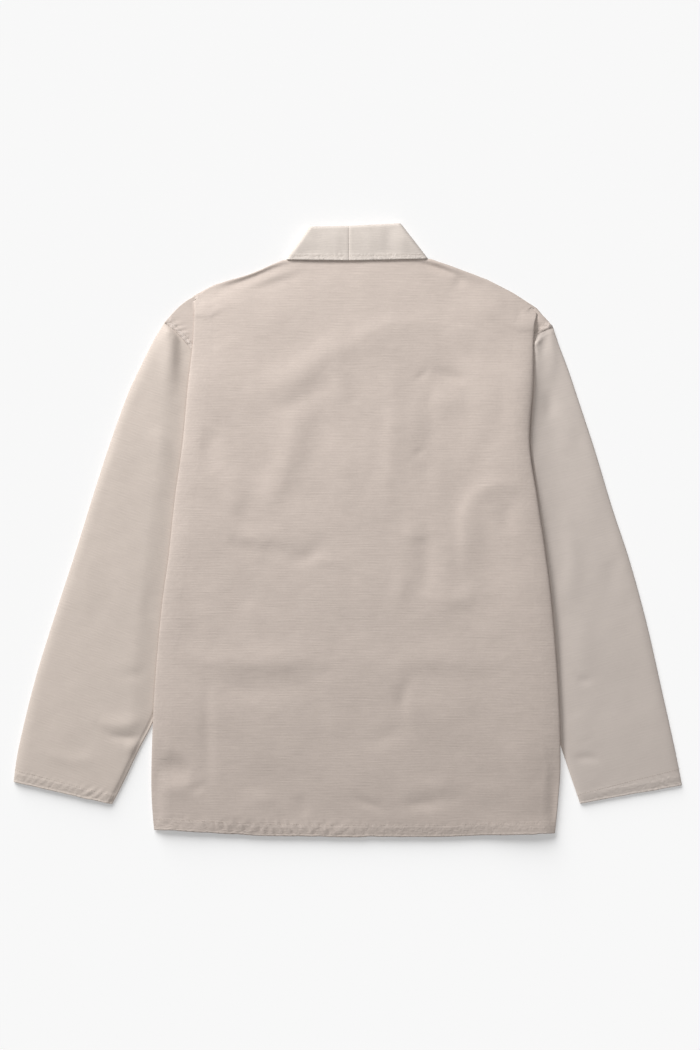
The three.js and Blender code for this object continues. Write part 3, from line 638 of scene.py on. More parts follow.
def side_fold(side, at):
    """The side of the back from the seam to the end of its upper run, as rows of points."""
    edge, edge_up, bend, seam, seam_up, turn = side_at(side, at)
    angle = np.pi * turn
    wide, high, under = roll_size(side, edge_up)
    wide = np.minimum(wide, 4 + turn * 40)
    run = np.maximum(0.3, (edge - 3 - bend) * turn**8)

    def roll(a):
        """How far out and down the roll has come at an angle."""
        over = a > np.pi / 2
        out = wide - np.where(over, under, wide) * (1 - np.sin(a))
        return out, high - np.where(over, under, high) * np.cos(a)

    top_out = edge - wide - CLOTH / 2
    top = LOW_RUN + roll(angle)[1] + INNER_BEND * (1 - np.cos(angle)) + run * np.sin(angle)
    rolled = [roll(angle * share) for share in np.linspace(0, 1, ROLL_STEPS)]
    points = [(top_out + out, top - drop) for out, drop in rolled]
    edge_out, edge_top = points[-1]
    for share in UNDER_STEPS:
        points.append((edge_out + share * run * np.cos(angle), edge_top - share * run * np.sin(angle)))
    bend_out, bend_top = points[-1]
    for share in BEND_STEPS:
        points.append((bend_out + INNER_BEND * (np.sin(angle) - np.sin(angle * share)),
                       bend_top + INNER_BEND * (np.cos(angle) - np.cos(angle * share))))
    low_out = points[-1][0]
    bow = SHOULDER_BOW[side] * falls(at, 0, 1.6)
    fold = [np.stack([out, edge_up, z], -1) for out, z in points]
    span = np.hypot(seam - bend, seam_up - edge_up)
    for share in np.linspace(0, 1, SEAM_STEPS + 1)[1:]:
        out = lerp(low_out, seam, share)
        up = lerp(edge_up, seam_up, share) + bow * np.sin(np.pi * share)
        from_seam = np.hypot(seam - out, seam_up - up)
        fold.append(np.stack([out, up, low_run_height(seam_up, from_seam, span)], -1))
    fold = np.stack(fold, 1)[:, ::-1]
    # Below the sleeves nothing holds the folded edge up, so it comes down to the surface.
    fold[..., 2] -= 2.4 * falls(fold[..., 1], 50, 135) * smooth(fold[..., 0] - seam[:, None], 1, 15)
    fold[..., 0] *= SIGN[side]
    return fold


def low_run_height(seam_up, from_seam, span):
    """The low run swells a little where it shows, puckers and laps over the sleeve at the armhole."""
    at_armhole = smooth(seam_up, 366, 420)
    lip = SEAM_LIP * at_armhole * falls(from_seam, 2, 9)
    groove = 0.75 * at_armhole * bell(from_seam - ARMHOLE_STITCHES[1], 1.2)
    shown = smooth(span, 14, 34)
    swell = 1.3 * shown * np.sin(np.pi * np.clip(from_seam / span, 0, 1))
    along = seam_up * 1.25 + from_seam * 0.35
    pucker = np.sin(along / 0.98 + 2.4 * lumps(along, 0, 9, 5, 31)) * (1 + 0.7 * lumps(along, 5, 8, 5, 32))
    return LOW_RUN + lip + swell + 0.5 * shown * pucker * band(from_seam, 0.5, 3, 7, 18) - groove


def shoulder_share(side, out):
    """How far the top of the back rises above its end, out of the rise to the centre."""
    edge, edge_up = SIDE_ROWS[side][0][:2]
    up = np.interp(out * edge, *curve(SHOULDER_LINE[side], 8).T)
    return (up - edge_up) / (MID_UP[0] - edge_up)


def hem_puckers(x, from_hem):
    """Short slanted folds between the hem's edge and its stitches, no two alike."""
    along = x + 0.3 * from_hem + 3.4 * lumps(x, 0, 23, 9, 41)
    wave = np.sin(along * 2 * np.pi / PUCKER) + 0.45 * np.sin(along * 2 * np.pi / 5.3 + 1.7)
    size = lerp(1, 0.4, smooth(x, -30, 60)) * (0.85 + 0.55 * lumps(x, 0, 27, 9, 43))
    return size * band(from_hem, -1, 5, 11, 26) * wave - 0.4 * bell(from_hem - HEM_TURN, 1.3)


def back_height(from_top, from_hem):
    """The height of the back's upper run, without its creases."""
    edge = 1.0 - rounded(from_top, 5)
    return BACK_LEVEL - 3.2 * falls(from_top, 2, 72) - edge - 1.6 * falls(from_hem, -6, 15)


def back_unevenness(x, up, from_top, from_hem):
    """Creases and soft lumps, which die out under the collar and toward the hem's fold."""
    by_neck = falls(np.abs(x), 70, 88)
    calm = lerp(1, smooth(from_top, 0, 4), by_neck) * smooth(from_hem, 4, 26)
    rise = CREASE_DEPTH * crease_rise(BACK_CREASES, x, up) + uneven(x, up, BACK_LUMPS)
    return calm * rise + smooth(from_hem, 0, 3) * 0.06 * lumps(x, up, 8, 7, 13)


def waver(x, from_edge, seed):
    """How far a stitched edge strays from its line."""
    return falls(from_edge, 4, 30) * (0.8 * lumps(x, 0, 37, 9, seed) + 0.45 * lumps(x, 0, 13, 9, seed + 1))


def eased(values, reach):
    """A column of values, each the soft mean of its neighbours."""
    weights = np.hanning(2 * reach + 3)[1:-1]
    return np.convolve(np.pad(values, reach, mode="edge"), weights / weights.sum(), "valid")


def from_ends(grid):
    """How far each point is below the first row and above the last."""
    up = grid[..., 1]
    return up[:1] - up, up - up[-1:]


def back_grid():
    """The middle of the back's cloth, from one armhole under and over to the other, row by row."""
    at = body_rows()
    left, right = side_fold("left", at), side_fold("right", at)[:, ::-1]
    ends = {"left": left[:, -1], "right": right[:, 0]}
    x = lerp(ends["left"][:, :1], ends["right"][:, :1], np.linspace(0, 1, BACK_COLUMNS + 2)[1:-1])
    centre_up = columns(MID_UP, at)[:, None]
    halves = []
    for side, end in ends.items():
        reach = np.abs(end[:, :1])
        soft = eased(end[:, 2], 9)[:, None]
        halves.append((
            lerp(end[:, 1:2], centre_up, shoulder_share(side, np.clip(x / end[:, :1], 0, 1))),
            lerp(soft, end[:, 2:], smooth(np.abs(x), reach - 34, reach)),
            smooth(np.abs(x), reach - SHED, reach),
        ))
    up, edge_level, held = (np.where(x < 0, *pair) for pair in zip(*halves))
    from_top, from_hem = up[:1] - up, up - up[-1:]
    up = up + waver(x, from_hem, 81)
    z = lerp(back_height(from_top, from_hem), edge_level, held)
    grid = np.concatenate([left, np.stack([x, up, z], -1), right], 1)
    over = np.maximum(0, np.cos(np.linspace(0, np.pi, ROLL_STEPS)))
    low = np.zeros(LOW_COLUMNS)
    weight = np.concatenate([low, over[::-1], np.ones(BACK_COLUMNS), over, low])
    from_top, from_hem = from_ends(grid)
    rise = back_unevenness(grid[..., 0], grid[..., 1], from_top, from_hem)
    grid[..., 2] += weight * (rise + hem_puckers(grid[..., 0], from_hem))
    return grid


def turned_up(from_edge, turn):
    """How much thicker the cloth is inside a turned-up edge."""
    return CLOTH * falls(from_edge, turn - 0.8, turn + 0.8)


def edge_wear(from_edge, soft, share, low, high):
    """Wear at a free edge, and a share of it as far as its stitches."""
    return np.maximum(falls(from_edge, 0, soft), share * falls(from_edge, low, high))


def make_back():
    grid = back_grid()
    from_hem = from_ends(grid)[1]
    wear = edge_wear(from_hem, 4, 0.4, HEM_TURN - 1, HEM_TURN + 4)
    for half, worn in ((grid, wear), (grid[:, ::-1], wear[:, ::-1])):
        rolled = worn[:, LOW_COLUMNS + 5:LOW_COLUMNS + ROLL_STEPS]
        np.maximum(rolled, 0.12, out=rolled)
        low_run = worn[:, :LOW_COLUMNS]
        from_seam = np.linalg.norm(half[:, :LOW_COLUMNS] - half[:, :1], axis=-1)
        np.maximum(low_run, 1.6 * falls(from_seam, 4, 9), out=low_run)
    across = travelled(grid[..., [0, 2]], 1)
    middle = grid.shape[1] // 2
    cut = np.stack([across - across[:, middle:middle + 1], grid[..., 1]], -1)
    inside = CLOTH / 2 + turned_up(from_hem, HEM_TURN) * 0.8
    obj, outer = wall("shirt_back", grid, cut, inside=inside, wear=wear)
    runs = [outer[nearest(from_hem[:, middle], HEM_TURN)]]
    for half in (outer, outer[:, ::-1]):
        shown = half[half[:, 0, 1] > ARMHOLE_SHOWN]
        runs += [inset_line(shown, distance) for distance in ARMHOLE_STITCHES]
    return obj, runs


def inset_line(rows, distance):
    """The line through some rows of points at a distance from their first points."""
    return np.array([point_along(row, distance) for row in rows[:, :STITCHED_POINTS]])


# The sleeves.

def folded_edge_at(side, up):
    edges, ups = np.array(SIDE_ROWS[side])[::-1, :2].T
    return np.interp(up, ups, edges)


def rounded(distance, width):
    """The rise of a round edge at a distance inside it, from 0 at the edge to 1."""
    return np.sqrt(1 - np.clip(1 - distance / width, 0, 1) ** 2)


def across_layer(long, middle_count):
    """Distances across a sleeve's layer at each ring, close together near both edges."""
    near = np.broadcast_to(SLEEVE_EDGE_STEPS, (len(long), len(SLEEVE_EDGE_STEPS)))
    far = long[:, None] - near[:, ::-1]
    middle = lerp(near[:, -1:], far[:, :1], np.linspace(0, 1, middle_count + 2)[1:-1])
    return np.concatenate([near, middle, far], 1)


def sleeve_grid(side):
    """A flattened tube, as rings from the armhole to the cuff."""
    seam = np.stack(side_at(side, np.linspace(0, ARMHOLE_END, 300))[3:5], -1)
    outer, inner, keep = np.split(columns(SLEEVE_ROWS[side], SLEEVE_RINGS).T, (2, 4), 1)
    long = np.linalg.norm(inner - outer, axis=-1)
    axis = unit((outer + inner)[-1] - (outer + inner)[0])
    tuck = axis * (1.4 * falls(SLEEVE_RINGS, 0, 0.12))[:, None, None]

    def places(distance):
        """Points across the sleeve, on lines that follow the armhole near it."""
        share = distance / long[:, None]
        bow = point_along(seam, share * travelled(seam)[-1]) - lerp(seam[0], seam[-1], share[..., None])
        flat = outer[:, None] + (inner - outer)[:, None] * share[..., None]
        return flat + bow * np.maximum(keep, 0)[:, None] - tuck

    above, below = (across_layer(long, count) for count in SLEEVE_ACROSS)
    below = below[:, 1:-1]
    upper, under = places(above), places(below)
    from_head = travelled(upper)
    from_cuff = from_head[-1:] - from_head
    from_inner = long[:, None] - above
    x, up = SIGN[side] * upper[..., 0], upper[..., 1]
    z = sleeve_height(side, x, up, np.minimum(above, from_inner), from_head, from_cuff)
    z = lerp(SLEEVE_MIDDLE, z, rounded(above, 13) * rounded(from_inner, 10))
    if side == "left":
        z -= 1.1 * falls(up, 140, 190) * bell(from_inner - 3, 1.1)
    upper = upper - waver(upper[..., 0], from_cuff, 83 + SIGN[side])[..., None] * axis
    low = lerp(SLEEVE_MIDDLE, SLEEVE_LOW, rounded(np.minimum(below, long[:, None] - below), 3))
    upper = np.concatenate([upper, z[..., None]], -1)
    under = np.concatenate([under, low[..., None]], -1)[:, ::-1]
    ring = np.concatenate([upper, under], 1)
    ring[..., 0] *= SIGN[side]
    return ring, axis, upper.shape[1]


def right_swell(clear, up):
    """The right sleeve swells out from under the folded edge and falls away from it."""
    high = smooth(up, 200, 500)
    away = np.clip((clear - 1) / lerp(14, 36, high), 0, 1)
    return lerp(0.5, 4.2, high) * smooth(up, 100, 260) * (1 - away) ** 2.2


def sleeve_height(side, x, up, from_edge, from_head, from_cuff):
    """The height of the upper layer, away from the sleeve's folded edges."""
    sign = SIGN[side]
    clear = np.abs(x) - folded_edge_at(side, up)
    free = np.maximum(smooth(clear, -4, SLEEVE_CLEAR[side]), smooth(up, 600, 640) * smooth(from_head, 0, 20))
    calm = smooth(from_head, 0, 6) * smooth(from_cuff, 6, 22) * smooth(from_edge, 0, 9)
    creases = CREASE_DEPTH * crease_rise(SLEEVE_CREASES[side], x, up)
    rise = SLEEVE_LOFT[side] + calm * (creases + uneven(x, up, SLEEVE_LUMPS[side]))
    if side == "right":
        rise += right_swell(clear, up)
    along = x * sign + 0.9 * from_cuff
    pucker = np.sin(along * 2 * np.pi / PUCKER + 2.4 * lumps(x, 0, 19, 9, 51 + sign))
    rise += 0.27 * pucker * (1 + 0.8 * lumps(x, 3, 27, 9, 55)) * band(from_cuff, 0.5, 5, 11, 22)
    pulled = np.sin((x * sign + up) / 1.5 + 2.6 * lumps(x + up, 0, 12, 9, 57))
    rise += 0.7 * pulled * (1 + 0.6 * lumps(x, up, 9, 9, 58)) * band(from_head, 0, 3, 5, 17)
    rise -= 0.16 * bell(from_cuff - CUFF_TURN, 1.5) + 1.1 * falls(from_cuff, -1, 12)
    return SLEEVE_TOP + free * lerp(SLEEVE_HEAD[side], 1, smooth(from_head, 0, 9)) * rise


def make_sleeve(side):
    grid, axis, upper_count = sleeve_grid(side)
    if side == "right":
        grid = grid[:, ::-1]
    cut = np.stack([travelled(grid, 1), grid[..., :2] * (SIGN[side], 1) @ axis], -1)
    from_cuff = travelled(grid[::-1])[::-1]
    inside = CLOTH / 2 + turned_up(from_cuff, CUFF_TURN) * 0.3
    wear = edge_wear(from_cuff, 4, 0.35, CUFF_TURN - 1, CUFF_TURN + 4)
    obj, outer = wall("shirt_sleeve_" + side, grid, cut, inside=inside, ring=True, wear=wear)
    # Painted light: the sleeve's colour is made lighter toward the cuff, where the lamps light it less.
    painted_cuff_light = 0.28 * falls(from_cuff, -60, 420)
    add_layer(obj, "painted_cuff_light", np.concatenate([painted_cuff_light.ravel(), painted_cuff_light.ravel(), painted_cuff_light[0], painted_cuff_light[-1]]))
    row = nearest(from_cuff[:, upper_count // 2], CUFF_TURN)
    return obj, [np.concatenate([outer[row], outer[row, :1]])]


# The collar.

def collar_grid(side):
    """Half of the collar: the stand up to the roll, and the fall down to its free edge."""
    start = SIGN[side] * COLLAR_SEAM + 0.15
    back, front = (np.linspace(0, 1, COLLAR_POINTS[part]) for part in ("back", "front"))
    turn = np.pi * np.linspace(0, 1, COLLAR_POINTS["turn"] + 2)[1:-1]
    stand, roll, fall = COLLAR_ROWS.values()
    reach = COLLAR_PLY / 2 + COLLAR_BEND

    def station(line, levels):
        """A line from the centre back around the side of the neck to the front."""
        (_, centre_up), (side_x, side_up), (front_x, front_up) = COLLAR_LINES[side][line]
        radius = (levels[0] - levels[1]) / 2
        out = side_x - COLLAR_PLY / 2 - radius
        x = lerp(start, out, back), out + radius * np.sin(turn), lerp(out, front_x, front)
        up = lerp(centre_up, side_up, back), side_up + 0 * turn, lerp(side_up, front_up, front)
        turning = lerp(levels[1], levels[0], (1 + np.cos(turn)) / 2)
        z = levels[0] + 0 * back, turning, levels[1] + 0 * front
        return np.stack([np.concatenate(parts) for parts in (x, up, z)], -1)

    def ring(line, share, levels, near):
        top, end = station("roll", levels), station(line, levels)
        long = np.linalg.norm(end - top, axis=-1, keepdims=True)
        return lerp(top, end, lerp(near / long, 1, share))

    rings = [ring("neck", share, STAND_LEVEL, reach) for share in np.linspace(1, 0, stand + 1)[:-1]]
    for angle in np.linspace(0, np.pi, roll):
        levels = [lerp(*pair, (1 - math.cos(angle)) / 2) for pair in zip(STAND_LEVEL, FALL_LEVEL)]
        line = "neck" if angle < np.pi / 2 else "edge"
        rings.append(ring(line, 0, levels, reach - COLLAR_BEND * math.sin(angle)))
    rings += [ring("edge", share, FALL_LEVEL, reach) for share in np.linspace(0, 1, fall + 1)[1:]]
    grid = np.stack(rings)
    grid[..., 0] *= SIGN[side]
    return grid


def make_collar(side):
    grid = collar_grid(side)
    past_back = np.arange(grid.shape[1]) - COLLAR_POINTS["back"] + 1
    on_back = (1 + np.cos(np.pi * np.clip(past_back / 12, 0, 1))) / 2
    shown = np.where(np.arange(len(grid))[:, None] >= COLLAR_SHOWN, on_back, 0)
    x, up = grid[..., 0], grid[..., 1]
    from_seam = np.abs(x - COLLAR_SEAM)
    from_edge = travelled(grid[::-1])[::-1]
    calm = smooth(from_edge, 1, 8) * smooth(from_seam, 1, 8)
    rise = calm * (crease_rise(COLLAR_CREASES, x, up) + 0.25 * lumps(x, up, 19, 23, 61))
    rise -= 0.45 * falls(from_seam, 0, 3.2)
    rise -= lerp(2.0, 2.6, smooth(-x, 44, 84)) * falls(from_edge, 0, 32)
    rise -= 0.7 * smooth(x, 66, 95) * falls(from_edge, 0, 14)
    rise -= 0.3 * bell(from_edge - COLLAR_STITCH, 1.3)
    pucker = np.sin((x + 0.5 * from_edge) / 1.25 + 2 * lumps(x, 0, 9, 9, 63))
    rise += 0.16 * pucker * band(from_edge, 1, 3, 7, 11)
    grid[..., 2] += shown * rise
    cut = np.stack([travelled(grid, 1), from_edge], -1)
    wear = edge_wear(from_edge, 3.5, 0.6, COLLAR_STITCH, COLLAR_STITCH + 4)
    if side == "left":
        grid, cut, wear = grid[:, ::-1], cut[:, ::-1], wear[:, ::-1]
    obj, outer = wall("shirt_collar_" + side, grid, cut, COLLAR_PLY / 2, COLLAR_PLY / 2, wear=wear)
    return obj, [outer[nearest(from_edge[:, 10], COLLAR_STITCH)]]


# The fronts and what is sewn on them.

def centre_front(up):
    (neck_x, neck_up), (hem_x, hem_up) = FRONT_AT_NECK, FRONT_AT_HEM
    return lerp(neck_x, hem_x, (neck_up - up) / (neck_up - hem_up))


def front_top(side, out):
    """The top of a front: level past the centre, up the neckline, out along the shoulder."""
    _, (neck_side, side_up), (neck_front, front_up) = COLLAR_LINES[side]["neck"]
    along = np.clip((out - neck_front) / (neck_side - neck_front), 0, None)
    neckline = lerp(front_up - 4, side_up - 1, along)
    return np.where(out > neck_side, np.interp(out, *np.array(SHOULDER_LINE[side]).T), neckline)


def front_lift(x, up):
    """What lies under the fronts lifts them: the pockets, the collar's ends and the buttons."""
    leaf = 2.2 * smooth(up, 628, 650) * falls(np.abs(x), 78, 100)
    strip = BUTTON_LIFT * falls(np.abs(x - centre_front(up)), 24, 46) * falls(up, 676, 712)
    raised = np.maximum(leaf, strip)
    beyond_ends = np.maximum(POCKET["bottom"] - up, up - POCKET["bottom"] - POCKET["height"])
    for side in SIDES:
        beyond_side = np.abs(x - SIGN[side] * POCKET[side]) - POCKET["width"] / 2
        raised = np.maximum(raised, 1.5 * falls(np.maximum(beyond_side, beyond_ends), 1, 16))
    return raised


def lap_lift(x, up):
    """One front laps over the other."""
    return 1.5 * falls(np.abs(x - centre_front(up)), LAP + 6, LAP + 26) * falls(up, 676, 712)


def make_front(side):
    """A front from its seam to its edge past the centre, lying on the surface."""
    sign = SIGN[side]
    at = np.linspace(0, len(MID_UP) - 1, FRONT_GRID[0])
    _, _, _, seam, seam_up, _ = side_at(side, at)
    down = (at / at[-1])[:, None]
    share = np.linspace(0, 1, FRONT_GRID[1])
    front_up = lerp(FRONT_AT_NECK[1], FRONT_AT_HEM[1], down**1.35)
    x = lerp(sign * seam[:, None], centre_front(front_up) - sign * LAP, share)
    up = lerp(seam_up[:, None], front_up, share)
    up = up + (front_top(side, sign * x[0]) - 1.6 - up[0]) * (1 - down) ** 3
    lift = front_lift(x, up)
    if side == "right":
        lift = lift + lap_lift(x, up)
    lift = lift + np.clip(lift / 3, 0, 1) * 0.15 * (1 + lumps(x, up, 21, 25, 71))
    grid = np.stack([x, up, FRONT_LEVEL + lift], -1)
    if side == "left":
        grid = grid[:, ::-1]
    from_hem = from_ends(grid)[1]
    inside = CLOTH / 2 + turned_up(from_hem, HEM_TURN) * 0.1
    obj, outer = wall("shirt_front_" + side, grid, grid[..., :2], inside=inside)
    return obj, front_stitches(side, outer, from_hem)


def front_stitches(side, face, from_hem):
    """The stitches of the hem, the front band and the buttonholes, on the face that lies down."""
    runs = [face[nearest(from_hem[:, face.shape[1] // 2], HEM_TURN)]]
    from_edge = face if side == "left" else face[:, ::-1]
    runs += [inset_line(from_edge, distance) for distance in (3, 2 * LAP - 2)]
    if side == "left":
        turn = np.linspace(0, 2 * np.pi, 25)[:, None]
        around = np.concatenate([np.cos(turn), np.sin(turn), 0 * turn], 1) * (*BUTTONHOLE, 0)
        level = face[..., 2].min() + BUTTON_LIFT
        runs += [around + (centre_front(up), up, level) for up in BUTTON_UPS]
    return runs


def make_pocket(side):
    """A patch pocket with rounded lower corners, between the front and the surface."""
    half, corner = POCKET["width"] / 2, POCKET["corner"]
    turn = corner * (1 - np.cos(np.linspace(0, np.pi / 2, 7)))
    straight = np.linspace(-half + corner, half - corner, 30)[1:-1]
    x = np.concatenate([-half + turn, straight, half - turn[::-1]])
    inset = np.clip(corner - (half - np.abs(x)), 0, corner)
    low = POCKET["bottom"] + corner - np.sqrt(corner**2 - inset**2)
    up = lerp(low, POCKET["bottom"] + POCKET["height"], np.linspace(1, 0, POCKET_ROWS)[:, None])
    grid = np.stack([x + SIGN[side] * POCKET[side] + 0 * up, up, np.full(up.shape, POCKET_LEVEL)], -1)
    obj, outer = wall("shirt_pocket_" + side, grid, grid[..., :2], 0.5, 0.5)
    face = 2 * grid - outer
    border = np.concatenate([face[:, 1] + (1, 0, 0), face[-2, 2:-2] + (0, 1, 0), face[::-1, -2] - (1, 0, 0)])
    mouth = face[round(POCKET_MOUTH / POCKET["height"] * (POCKET_ROWS - 1))]
    return obj, [border, mouth]


def revolve(name, profile, steps, centre=(0, 0)):
    """A closed solid turned from a profile of (radius, z) that starts and ends on its axis."""
    turn = np.arange(steps) * 2 * math.pi / steps
    radius, z = np.array(profile[1:-1]).T[..., None]
    rings = np.stack([radius * np.cos(turn), radius * np.sin(turn), z + 0 * turn], -1)
    points = np.concatenate([[(0, 0, profile[0][1])], rings.reshape(-1, 3), [(0, 0, profile[-1][1])]])
    corners = 1 + np.arange(radius.size * steps).reshape(-1, steps)
    faces = grid_quads(corners, True).tolist()
    for ring, tip in ((corners[0, ::-1], 0), (corners[-1], len(points) - 1)):
        faces += [(here, there, tip) for here, there in zip(ring.tolist(), np.roll(ring, -1).tolist())]
    return mesh_object(name, points + (*centre, 0), faces)


def button_mesh():
    """A sewn button with a raised rim and four holes, its face down."""
    body = revolve("button_form", BUTTON_PROFILE, 48)
    pins = [revolve("button_pin", PIN_PROFILE, 20, (x, y))
            for x in (-HOLE_OUT, HOLE_OUT) for y in (-HOLE_OUT, HOLE_OUT)]
    for pin in pins:
        cut = body.modifiers.new("hole", "BOOLEAN")
        cut.object = pin
        cut.operation = "DIFFERENCE"
        cut.solver = "EXACT"
    graph = bpy.context.evaluated_depsgraph_get()
    mesh = bpy.data.meshes.new_from_object(body.evaluated_get(graph))
    for obj in (body, *pins):
        bpy.data.objects.remove(obj)
    for polygon in mesh.polygons:
        polygon.use_smooth = abs(polygon.normal.z) < 0.999
    return mesh


def make_button(number, form):
    low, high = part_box(f"button_{number}")
    place = Matrix.Translation(((low.x + high.x) / 2, (low.y + high.y) / 2, low.z))
    mesh = form.copy()
    mesh.transform(place @ Matrix.Scale(MM, 4))
    return add_object(f"shirt_button_{number}", mesh)


def button_threads():
    """The crossed threads that hold each button."""
    places = [(centre_front(up), up, THREAD_LEVEL, way) for up in BUTTON_UPS for way in (-1, 1)]
    middles, way = np.split(np.array(places), [3], 1)
    along = 2 * HOLE_OUT * np.concatenate([way**2, way, 0 * way], 1)
    aside = 0.5 * np.cross(unit(along), (0, 0, 1))
    above = 0.28 * np.broadcast_to((0, 0, 1), aside.shape)
    return spindles("button_threads", middles, along, aside, above, THREAD_RINGS)


# Materials.

class Nodes:
    """A material's node tree, with short ways to add to it."""

    def __init__(self, name):
        self.material = bpy.data.materials.new(name)
        self.material.use_nodes = True
        self.tree = self.material.node_tree
        self.tree.nodes.clear()
        self.shader = self.add("BsdfPrincipled")
        self.add("OutputMaterial", {"Surface": self.shader.outputs["BSDF"]})

    def fill(self, node, values):
        """Link or set some of a node's inputs."""
        for name, value in values.items():
            if isinstance(value, bpy.types.NodeSocket):
                self.tree.links.new(value, node.inputs[name])
            else:
                node.inputs[name].default_value = value

    def add(self, kind, values=None):
        node = self.tree.nodes.new("ShaderNode" + kind)
        self.fill(node, values or {})
        return node

    def finish(self, values):
        self.fill(self.shader, values)
        return self.material

    def place(self):
        return self.add("TexCoord").outputs["Object"]

    def attribute(self, name):
        node = self.add("Attribute")
        node.attribute_name = name
        return node.outputs["Fac"]

    def maths(self, operation, *values):
        node = self.add("Math", dict(enumerate(values)))
        node.operation = operation
        return node.outputs[0]

    def total(self, value, weighted):
        """A value and others added to it by their weights."""
        for other, weight in weighted:
            value = self.maths("MULTIPLY_ADD", other, weight, value)
        return value

    def wave(self, value, length):
        return self.maths("SINE", self.maths("MULTIPLY", value, 2 * math.pi / length))

    def patches(self, place, wide, high, detail=1.0, roughness=0.5, distortion=0.0):
        """Noise in patches of about the given size, in metres."""
        mapping = self.add("Mapping", {"Vector": place, "Scale": (1 / wide, 1 / high, 1 / wide)})
        noise = self.add("TexNoise", {"Vector": mapping.outputs["Vector"], "Scale": 1, "Detail": detail,
                                      "Roughness": roughness, "Distortion": distortion})
        return noise.outputs["Fac"]

    def ranged(self, *values):
        """A value from one range in another: value, low, high, low there, high there."""
        node = self.add("MapRange", dict(zip(("Value", "From Min", "From Max", "To Min", "To Max"), values)))
        node.interpolation_type = "SMOOTHSTEP"
        return node.outputs["Result"]

    def mixed(self, share, first, second):
        node = self.add("Mix", {"Factor": share})
        node.data_type = "RGBA"
        sockets = [i for i, socket in enumerate(node.inputs) if socket.type == "RGBA"]
        self.fill(node, dict(zip(sockets, (first, second))))
        return next(socket for socket in node.outputs if socket.type == "RGBA")

    def bump(self, height, strength, distance):
        node = self.add("Bump", {"Height": height, "Strength": strength, "Distance": distance})
        return node.outputs["Normal"]


def rgba(tone, gain=1.0):
    return (*(value * gain for value in tone), 1)


def cotton(name, tone, grain):
    """Matte cotton: a faint broken rib with slubs, a fine weave, soft mottling, worn edges, and painted
    light that brightens a sleeve toward its cuff.
    """
    nodes = Nodes(name)
    cut = nodes.add("UVMap")
    cut.uv_map = "cut"
    flat = cut.outputs["UV"]
    place = nodes.place()
    split = nodes.add("SeparateXYZ", {0: flat})
    across, along = split.outputs["X"], split.outputs["Y"]
    wear = nodes.attribute("wear")

    drift = nodes.patches(flat, 0.05, 0.012)
    broken = nodes.ranged(nodes.patches(flat, 0.022, 0.008, 2.0), 0.38, 0.66, 0.1, 1)
    ribs = nodes.wave(nodes.maths("MULTIPLY_ADD", drift, 1.6 * RIB, along), RIB)
    ribs = nodes.maths("MULTIPLY", ribs, broken)
    slub = nodes.patches(flat, 0.03, 0.0024, 2.5, 0.6)
    fleck = nodes.patches(flat, 0.0034, 0.0024, 2.0, 0.6)
    cloud = nodes.patches(place, 0.012, 0.009, 2.0)
    mottle = nodes.patches(place, 0.09, 0.07, 3.0, 0.55)
    weave = nodes.maths("MULTIPLY", nodes.wave(along, WEFT), nodes.wave(across, WARP))

    share = nodes.total(-0.64, (
        (ribs, 0.18), (slub, 0.66), (fleck, 0.6), (cloud, 0.4), (mottle, 0.6), (weave, 0.03)))
    colour = nodes.mixed(share, rgba(tone, 1 - 0.13 * grain), rgba(tone, 1 + 0.13 * grain))
    # Painted light: lighter toward a sleeve's cuff, to make up for the lamps' falloff there.
    colour = nodes.mixed(nodes.attribute("painted_cuff_light"), colour, rgba(tone, 1.3))
    worn = nodes.maths("MULTIPLY", wear, nodes.ranged(fleck, 0.35, 0.75, 0.02, 0.3))
    colour = nodes.mixed(worn, colour, rgba([lerp(value, 1, 0.25) for value in tone]))

    rucks = nodes.patches(flat, 0.0048, 0.0048, 1.0, 0.5, 0.8)
    height = nodes.maths("MULTIPLY", nodes.maths("MULTIPLY", rucks, wear), 8.0)
    height = nodes.total(height, (
        (ribs, 0.14 * grain), (slub, 0.5 * grain), (fleck, 0.5 * grain), (weave, 0.06 * grain)))
    return nodes.finish({
        "Base Color": colour,
        "Normal": nodes.bump(height, 0.5, 0.0004),
        "Roughness": nodes.ranged(share, 0.2, 0.8, 0.96, 0.88),
        "Specular IOR Level": 0.25,
        "Sheen Weight": 0.12,
        "Sheen Roughness": 0.55,
        "Sheen Tint": (1, 0.97, 0.95, 1),
    })


def thread_finish(name, light, dark):
    """Twisted sewing thread, a little glossier than the cloth."""
    nodes = Nodes(name)
    place = nodes.place()
    twist = nodes.patches(place, 0.0007, 0.0007)
    length = nodes.patches(place, 0.02, 0.02)
    share = nodes.total(0, ((twist, 0.6), (length, 0.4)))
    return nodes.finish({
        "Base Color": nodes.mixed(share, rgba(dark), rgba(light)),
        "Normal": nodes.bump(twist, 0.4, 0.0001),
        "Roughness": 0.7,
        "Sheen Weight": 0.1,
    })


def resin_finish(name):
    """Satin resin with a cloudy grain."""
    nodes = Nodes(name)
    place = nodes.place()
    cloud = nodes.patches(place, 0.006, 0.011, 3.0, 0.6, 0.8)
    speck = nodes.patches(place, 0.0011, 0.0011)
    share = nodes.ranged(nodes.total(0, ((cloud, 0.8), (speck, 0.2))), 0.3, 0.7, 0, 1)
    return nodes.finish({
        "Base Color": nodes.mixed(share, rgba((0.27, 0.2, 0.14)), rgba((0.4, 0.31, 0.22))),
        "Roughness": nodes.ranged(speck, 0.3, 0.7, 0.34, 0.5),
    })


def floor_finish():
    """A plain pale floor that keeps its tone from end to end."""
    nodes = Nodes("floor")
    soft = nodes.patches(nodes.place(), 0.7, 0.7)
    return nodes.finish({
        "Base Color": nodes.mixed(soft, rgba(FLOOR_TONE), rgba(FLOOR_TONE, 0.995)),
        "Roughness": 0.9,
        "Specular IOR Level": 0.1,
        "Emission Color": (1, 1, 1, 1),
        "Emission Strength": FLOOR_GLOW,
    })


# The stage.

